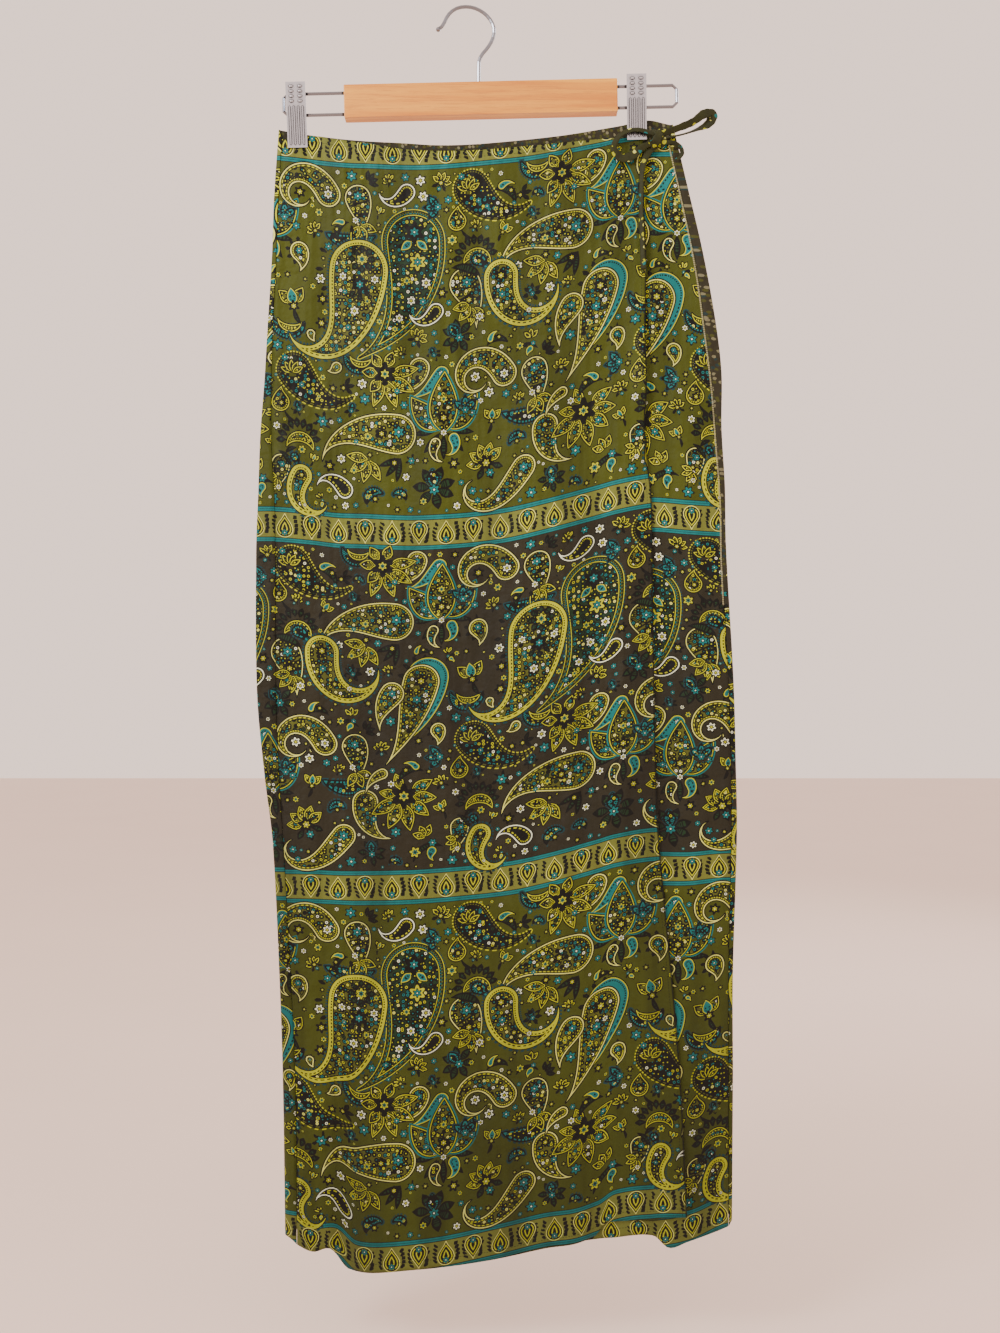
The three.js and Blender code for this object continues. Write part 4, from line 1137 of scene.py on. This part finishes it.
def front_panel(name, column_shares, hem_column, shift, bands, print_offset, free_edge, materials):
    """column_shares run from 0 at the left seam to 1 at the wrap edge and 2 at the right seam."""
    left = read(OUTLINE, "z", "leftSeam", LEVELS) + GAP / 2
    wrap = read(OUTLINE, "z", "wrap", LEVELS)
    right = read(OUTLINE, "z", "rightSeam", LEVELS) - GAP / 2
    x = np.where(column_shares <= 1, mix(left, wrap, np.minimum(column_shares, 1)),
                 mix(wrap, right, np.maximum(column_shares - 1, 0)))
    z = height_at(ROW_SHARES, x, "front", hem_column)
    y = -half_depth("front", x, z) * side_rounding(x, z, LEVELS, 0) + shift(column_shares, x, z, wrap)
    across = x + print_offset[0]
    down = down_the_print(bands, x, z) + print_offset[1]
    to_free, to_seam = np.abs(x - x[:, [free_edge]]), np.abs(x - x[:, [-1 - free_edge]])
    edge = np.stack([
        np.abs(height_at(0, x, "front", hem_column) - z), np.abs(z - read(HEM, "x", hem_column, x)),
        np.where((to_seam < SEAM_REACH) & (free_edge == 0), -to_seam, to_free),
    ], -1)
    outer = np.stack([x, y, z], -1)
    inner = outer + np.stack([0 * x, hem_thickness(edge), 0 * x], -1)
    return shell(name, outer, inner, np.stack([across, down], -1), edge, materials)


def over_shift(shares, x, z, wrap):
    return -edge_lift(x, z, wrap)


def under_shift(shares, x, z, wrap):
    past = np.clip(shares - 1, 0, 1)
    return (UNDER_STEP + LAYER_EASE * openness(z)) * (1 - past)


STRIP_FACES = 6  # across each strip of the back that shows on the front
BACK_COLUMNS = 113
BACK_SHIFT = 96.0  # across the print, so that the back doesn't repeat the front
FAR_EDGE = 100.0


def back_section(inset):
    """Points from the right front seam round the back to the left front seam, by row."""
    left = read(OUTLINE, "z", "left", LEVELS) + inset
    right = read(OUTLINE, "z", "right", LEVELS) - inset
    left_seam = read(OUTLINE, "z", "leftSeam", LEVELS) - GAP / 2
    right_seam = read(OUTLINE, "z", "rightSeam", LEVELS) + GAP / 2
    steps = np.linspace(0, 1, STRIP_FACES + 1)[None, :-1]
    strip = 1 - (1 - steps) ** 2
    turn = steps ** 2 * TURN_REACH
    middle = np.linspace(0, 1, BACK_COLUMNS)[None]

    def part(x, side, hem, share):
        front = height_at(ROW_SHARES, x, "front", hem)
        z = mix(front, height_at(ROW_SHARES, x, "back", "back"), share)
        depth = (half_depth(side, x, z) - inset) * side_rounding(x, z, LEVELS, inset)
        return np.stack([x, -depth if side == "front" else depth, z], -1)

    return np.concatenate([
        part(mix(right_seam, right, strip), "front", "under", strip),
        part(right - turn, "back", "over", 1),
        part(mix(right - TURN_REACH, left + TURN_REACH, middle), "back", "over", 1),
        part(left + turn[:, ::-1], "back", "over", 1),
        part(mix(left_seam, left, strip[:, ::-1]), "front", "over", strip[:, ::-1]),
    ], 1)


def back_cloth(materials):
    outer, inner = back_section(0), back_section(CLOTH)
    steps = np.linalg.norm(np.diff(outer[..., :2], axis=1), axis=2)
    across = np.concatenate([np.zeros((len(outer), 1)), np.cumsum(steps, 1)], 1)
    across = across - across[:, -1:] / 2
    down = down_the_print(BACK_BANDS, outer[..., 0], outer[..., 2])
    travel = np.abs(outer[..., 2] - outer[:1, :, 2])
    left_over = np.abs(outer[..., 2] - outer[-1:, :, 2])
    edge = np.stack([travel, left_over, np.full(travel.shape, FAR_EDGE)], -1)
    cloth = np.stack([across + BACK_SHIFT, down], -1)
    made = shell("back_cloth", outer, inner, cloth, edge, materials)
    turn_strip_over(made[0], outer)
    return made


TURNED_OVER = (-136.0, -540.0)  # heights between which the right strip shows its wrong side


def turn_strip_over(piece, outer):
    """Shows the wrong side of the cloth on the right strip between two heights."""
    rows, columns = outer.shape[:2]
    for row in range(rows - 1):
        if TURNED_OVER[1] < outer[row, 0, 2] < TURNED_OVER[0]:
            for column in range(STRIP_FACES):
                piece.data.polygons[row * (columns - 1) + column].material_index = 1


right_side = printed_cloth("printed_cloth", 1.0)
# painted light: the back's copy of the printed cloth is made 5% brighter than the front's, to light
# its strips that face sideways
back_side_painted_brighter = printed_cloth("printed_cloth_back", 1.05)
wrong_side = wrong_side_cloth()

OVER_COLUMNS = 108
OVER_PRINT = (181.0, 0.0)  # where the print starts, across and down
UNDER_PRINT = (128.0, 0.0)
UNDER_FREE, UNDER_SEEN = 0.22, 0.88  # shares of the way from the left seam to the wrap edge
over, over_cut = front_panel(
    "over_panel_cloth", np.linspace(0, 1, OVER_COLUMNS)[None], "over", over_shift, OVER_BANDS,
    OVER_PRINT, -1, [right_side, wrong_side])
HIDDEN_COLUMNS = np.linspace(UNDER_FREE, UNDER_SEEN, 22)[None, :-1]
SHOWN_COLUMNS = np.concatenate([np.linspace(UNDER_SEEN, 1, 13)[:-1], np.linspace(1, 2, 21)])[None]
under, under_cut = front_panel(
    "under_panel_cloth", np.concatenate([HIDDEN_COLUMNS, SHOWN_COLUMNS], 1), "under", under_shift,
    UNDER_BANDS, UNDER_PRINT, 0, [right_side, wrong_side])
back, back_cut = back_cloth([back_side_painted_brighter, wrong_side])

SHEETS = [  # piece, CAD nodes that it stands for, cut of what shows, slot
    (over, ["front_over_panel"], over_cut, "printed_cloth"),
    (under, ["front_under_panel"], under_cut, "printed_cloth"),
    (back, ["back_panel", "back_side_left", "back_side_right"], back_cut, "printed_cloth_back"),
]
for piece, nodes, cut, slot in SHEETS:
    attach(piece, "root")
    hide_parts(*nodes)


# ------------------------------------------------------------- the tie

STRAP = 1.5
STRAP_WALL = 0.28
STRAP_EASE = 0.05
STRAP_LAP = 0.3  # share of a turn over which one edge of the strip laps the other
STRAP_CREASE = 0.22
STRAPS = {  # x, y, z, width and roll of each strap
    "tie_loop_left": [
        (178, -8.6, -119, 5, 20), (162, -10, -115.5, 5, 25), (149, -9, -117.5, 5, 25),
        (141, -7.6, -125.5, 5.5, 10), (140, -6.6, -134, 6.5, 0), (147, -6.2, -140.5, 8, 0),
        (157, -6.8, -138.5, 8, 0), (166, -7.6, -131, 6, 10), (179, -8, -125.5, 5, 20)],
    "tie_loop_right": [
        (182, -8, -119.5, 5.5, 20), (196, -9.6, -115, 6.5, 35), (212, -11, -109, 7, 30),
        (223, -11.5, -101.5, 8, 10), (231, -9.5, -101, 9, 0), (228, -6.5, -108.5, 9, 15),
        (216, -4.8, -114, 6, 50), (202, -4.8, -118.5, 5, 60), (183, -6, -122.5, 4.5, 40)],
    "tie_loop_small": [
        (183, -7.6, -127, 4, 10), (194, -8.4, -127, 4, 20), (201.5, -7.4, -131, 4, 20),
        (203, -6, -137, 4, 20), (198, -5, -142, 3.6, 10)],
    "tie_tail": [
        (179, -5.4, -127, 7, 0), (171, -4.8, -136, 7, 5), (166.2, -4.8, -150, 5.5, 20),
        (165, -5.6, -172, 4.6, 30), (164.8, -7.4, -198, 4.6, 30), (165.6, -9.4, -224, 4.6, 25),
        (166.6, -11.2, -246, 5, 15)],
}
# The knot is two turns of the same strap round its middle.
KNOT_TURNS = [
    [(173, -5, -119.5, 6.5, 0), (176, -8.2, -118, 7, 10), (180, -9.4, -121.5, 7.5, 10),
     (184, -8.6, -126.5, 7, 10), (187, -5.4, -128.5, 6, 0)],
    [(184.5, -4, -117.4, 7, 0), (183.4, -8.4, -117.2, 7.5, 0), (181, -10.9, -121, 8, 0),
     (178.6, -10.8, -126, 8, 0), (177.4, -7.4, -129.6, 7.5, 0), (177.6, -3.6, -129.4, 7, 0)],
]
STRAP_STEPS = 8
STRAP_SIDES = 22


def curve_at(rows, at):
    """All columns of a strap at a place along it, on a smooth curve through its rows."""
    low = min(int(at), len(rows) - 2)
    share = at - low
    before, start = rows[max(low - 1, 0)], rows[low]
    end, after = rows[low + 1], rows[min(low + 2, len(rows) - 1)]
    found = []
    for a, b, c, d in zip(before, start, end, after):
        found.append(b + 0.5 * share * (c - a + share * (2 * a - 5 * b + 4 * c - d
                                                         + share * (3 * (b - c) + d - a))))
    return np.array(found)


def folded_section(width):
    """The outline of a strip folded flat round itself, as places across and out of the strap,
    and the width of the strip."""
    turn = np.linspace(0, 1 + STRAP_LAP, STRAP_SIDES)
    under_lap = (STRAP_WALL + STRAP_EASE) * (1 - smooth(STRAP_LAP, STRAP_LAP + 0.1, turn))
    angle = 2 * np.pi * turn
    flat = 1 - STRAP_CREASE * np.exp(-((np.cos(angle) / 0.3) ** 2))
    sides = []
    for inset in (under_lap, under_lap + STRAP_WALL):
        across = (width / 2 - inset) * np.cos(angle)
        sides.append(np.stack([across, (STRAP / 2 - inset) * np.sin(angle) * flat], 1))
    middle = (sides[0] + sides[1]) / 2
    strip = np.linalg.norm(np.diff(middle, axis=0), axis=1).sum()
    return np.concatenate([sides[0], sides[1][::-1]]), strip


def strap_rings(rows):
    """Sections along a strap, the mean width of its strip and its length."""
    rings, strips, places = [], [], []
    for i in range((len(rows) - 1) * STRAP_STEPS + 1):
        at = i / STRAP_STEPS
        x, y, z, width, roll = curve_at(rows, at)
        ahead = curve_at(rows, min(at + 0.05, len(rows) - 1))[:3]
        ahead -= curve_at(rows, max(at - 0.05, 0))[:3]
        ahead /= np.linalg.norm(ahead)
        side = np.array([ahead[2], 0, -ahead[0]])
        side /= np.linalg.norm(side)
        depth = np.cross(ahead, side)
        angle = math.radians(roll)
        across = side * math.cos(angle) + depth * math.sin(angle)
        normal = np.cross(ahead, across)
        uneven = 1 + 0.05 * math.sin(i * 1.7) + 0.04 * math.sin(i * 0.6)
        section, strip = folded_section(width * uneven)
        places.append(np.array([x, y, z]))
        rings.append(places[-1] + section[:, :1] * across + section[:, 1:] * normal)
        strips.append(strip)
    length = np.linalg.norm(np.diff(places, axis=0), axis=1).sum()
    return rings, sum(strips) / len(strips), length


def swept(name, tubes, material):
    """One mesh of closed tubes, each through its rings of points."""
    points, faces = [], []
    for rings in tubes:
        sides, first = len(rings[0]), len(points)
        points += [tuple(point * MM) for ring in rings for point in ring]
        faces.append(tuple(range(first, first + sides)))
        faces.append(tuple(range(len(points) - sides, len(points))))
        for i in range(len(rings) - 1):
            for j in range(sides):
                a, b = first + i * sides + j, first + i * sides + (j + 1) % sides
                faces.append((a, b, b + sides, a + sides))
    mesh = bpy.data.meshes.new(name)
    mesh.from_pydata(points, [], faces)
    mesh.materials.append(material)
    work = bmesh.new()
    work.from_mesh(mesh)
    bmesh.ops.recalc_face_normals(work, faces=work.faces)
    work.to_mesh(mesh)
    work.free()
    mesh.polygons.foreach_set("use_smooth", [True] * len(faces))
    mesh.update()
    piece = bpy.data.objects.new(name, mesh)
    bpy.context.scene.collection.objects.link(piece)
    return piece


def tie_piece(node, paths):
    """A folded strap, or several in one piece, swept along the strips that they are made of."""
    tubes, area, length = [], 0.0, 0.0
    for rows in paths:
        rings, strip, run = strap_rings(rows)
        tubes.append(rings)
        area += strip * run
        length += run
    piece = swept(f"{node}_cloth", tubes, tie_look)
    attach(piece, "root")
    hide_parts(node)


tie_look = tie_cloth()
tie_piece("tie_knot", KNOT_TURNS)
for node, rows in STRAPS.items():
    tie_piece(node, [rows])

# ------------------------------------------------------------- the hanger and the floor

SHARP_ANGLE = math.radians(38)
LOOKS = {
    "hanger_bar": maple(),
    "clip": plated_steel("sheet_steel", ink(206, 210, 220)),
    "hanger": plated_steel("wire_steel", ink(136, 139, 147)),
}
for name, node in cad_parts.items():
    look = next((LOOKS[start] for start in LOOKS if name.startswith(start)), None)
    if look is None:
        continue
    node.data.materials.clear()
    node.data.materials.append(look)
    node.data.polygons.foreach_set("use_smooth", [True] * len(node.data.polygons))
    node.data.set_sharp_from_angle(angle=SHARP_ANGLE)

bpy.ops.mesh.primitive_plane_add(size=14, location=(0, 0, FLOOR_LEVEL))
floor = bpy.context.object
floor.name = "floor"
floor.data.materials.append(pale_floor())
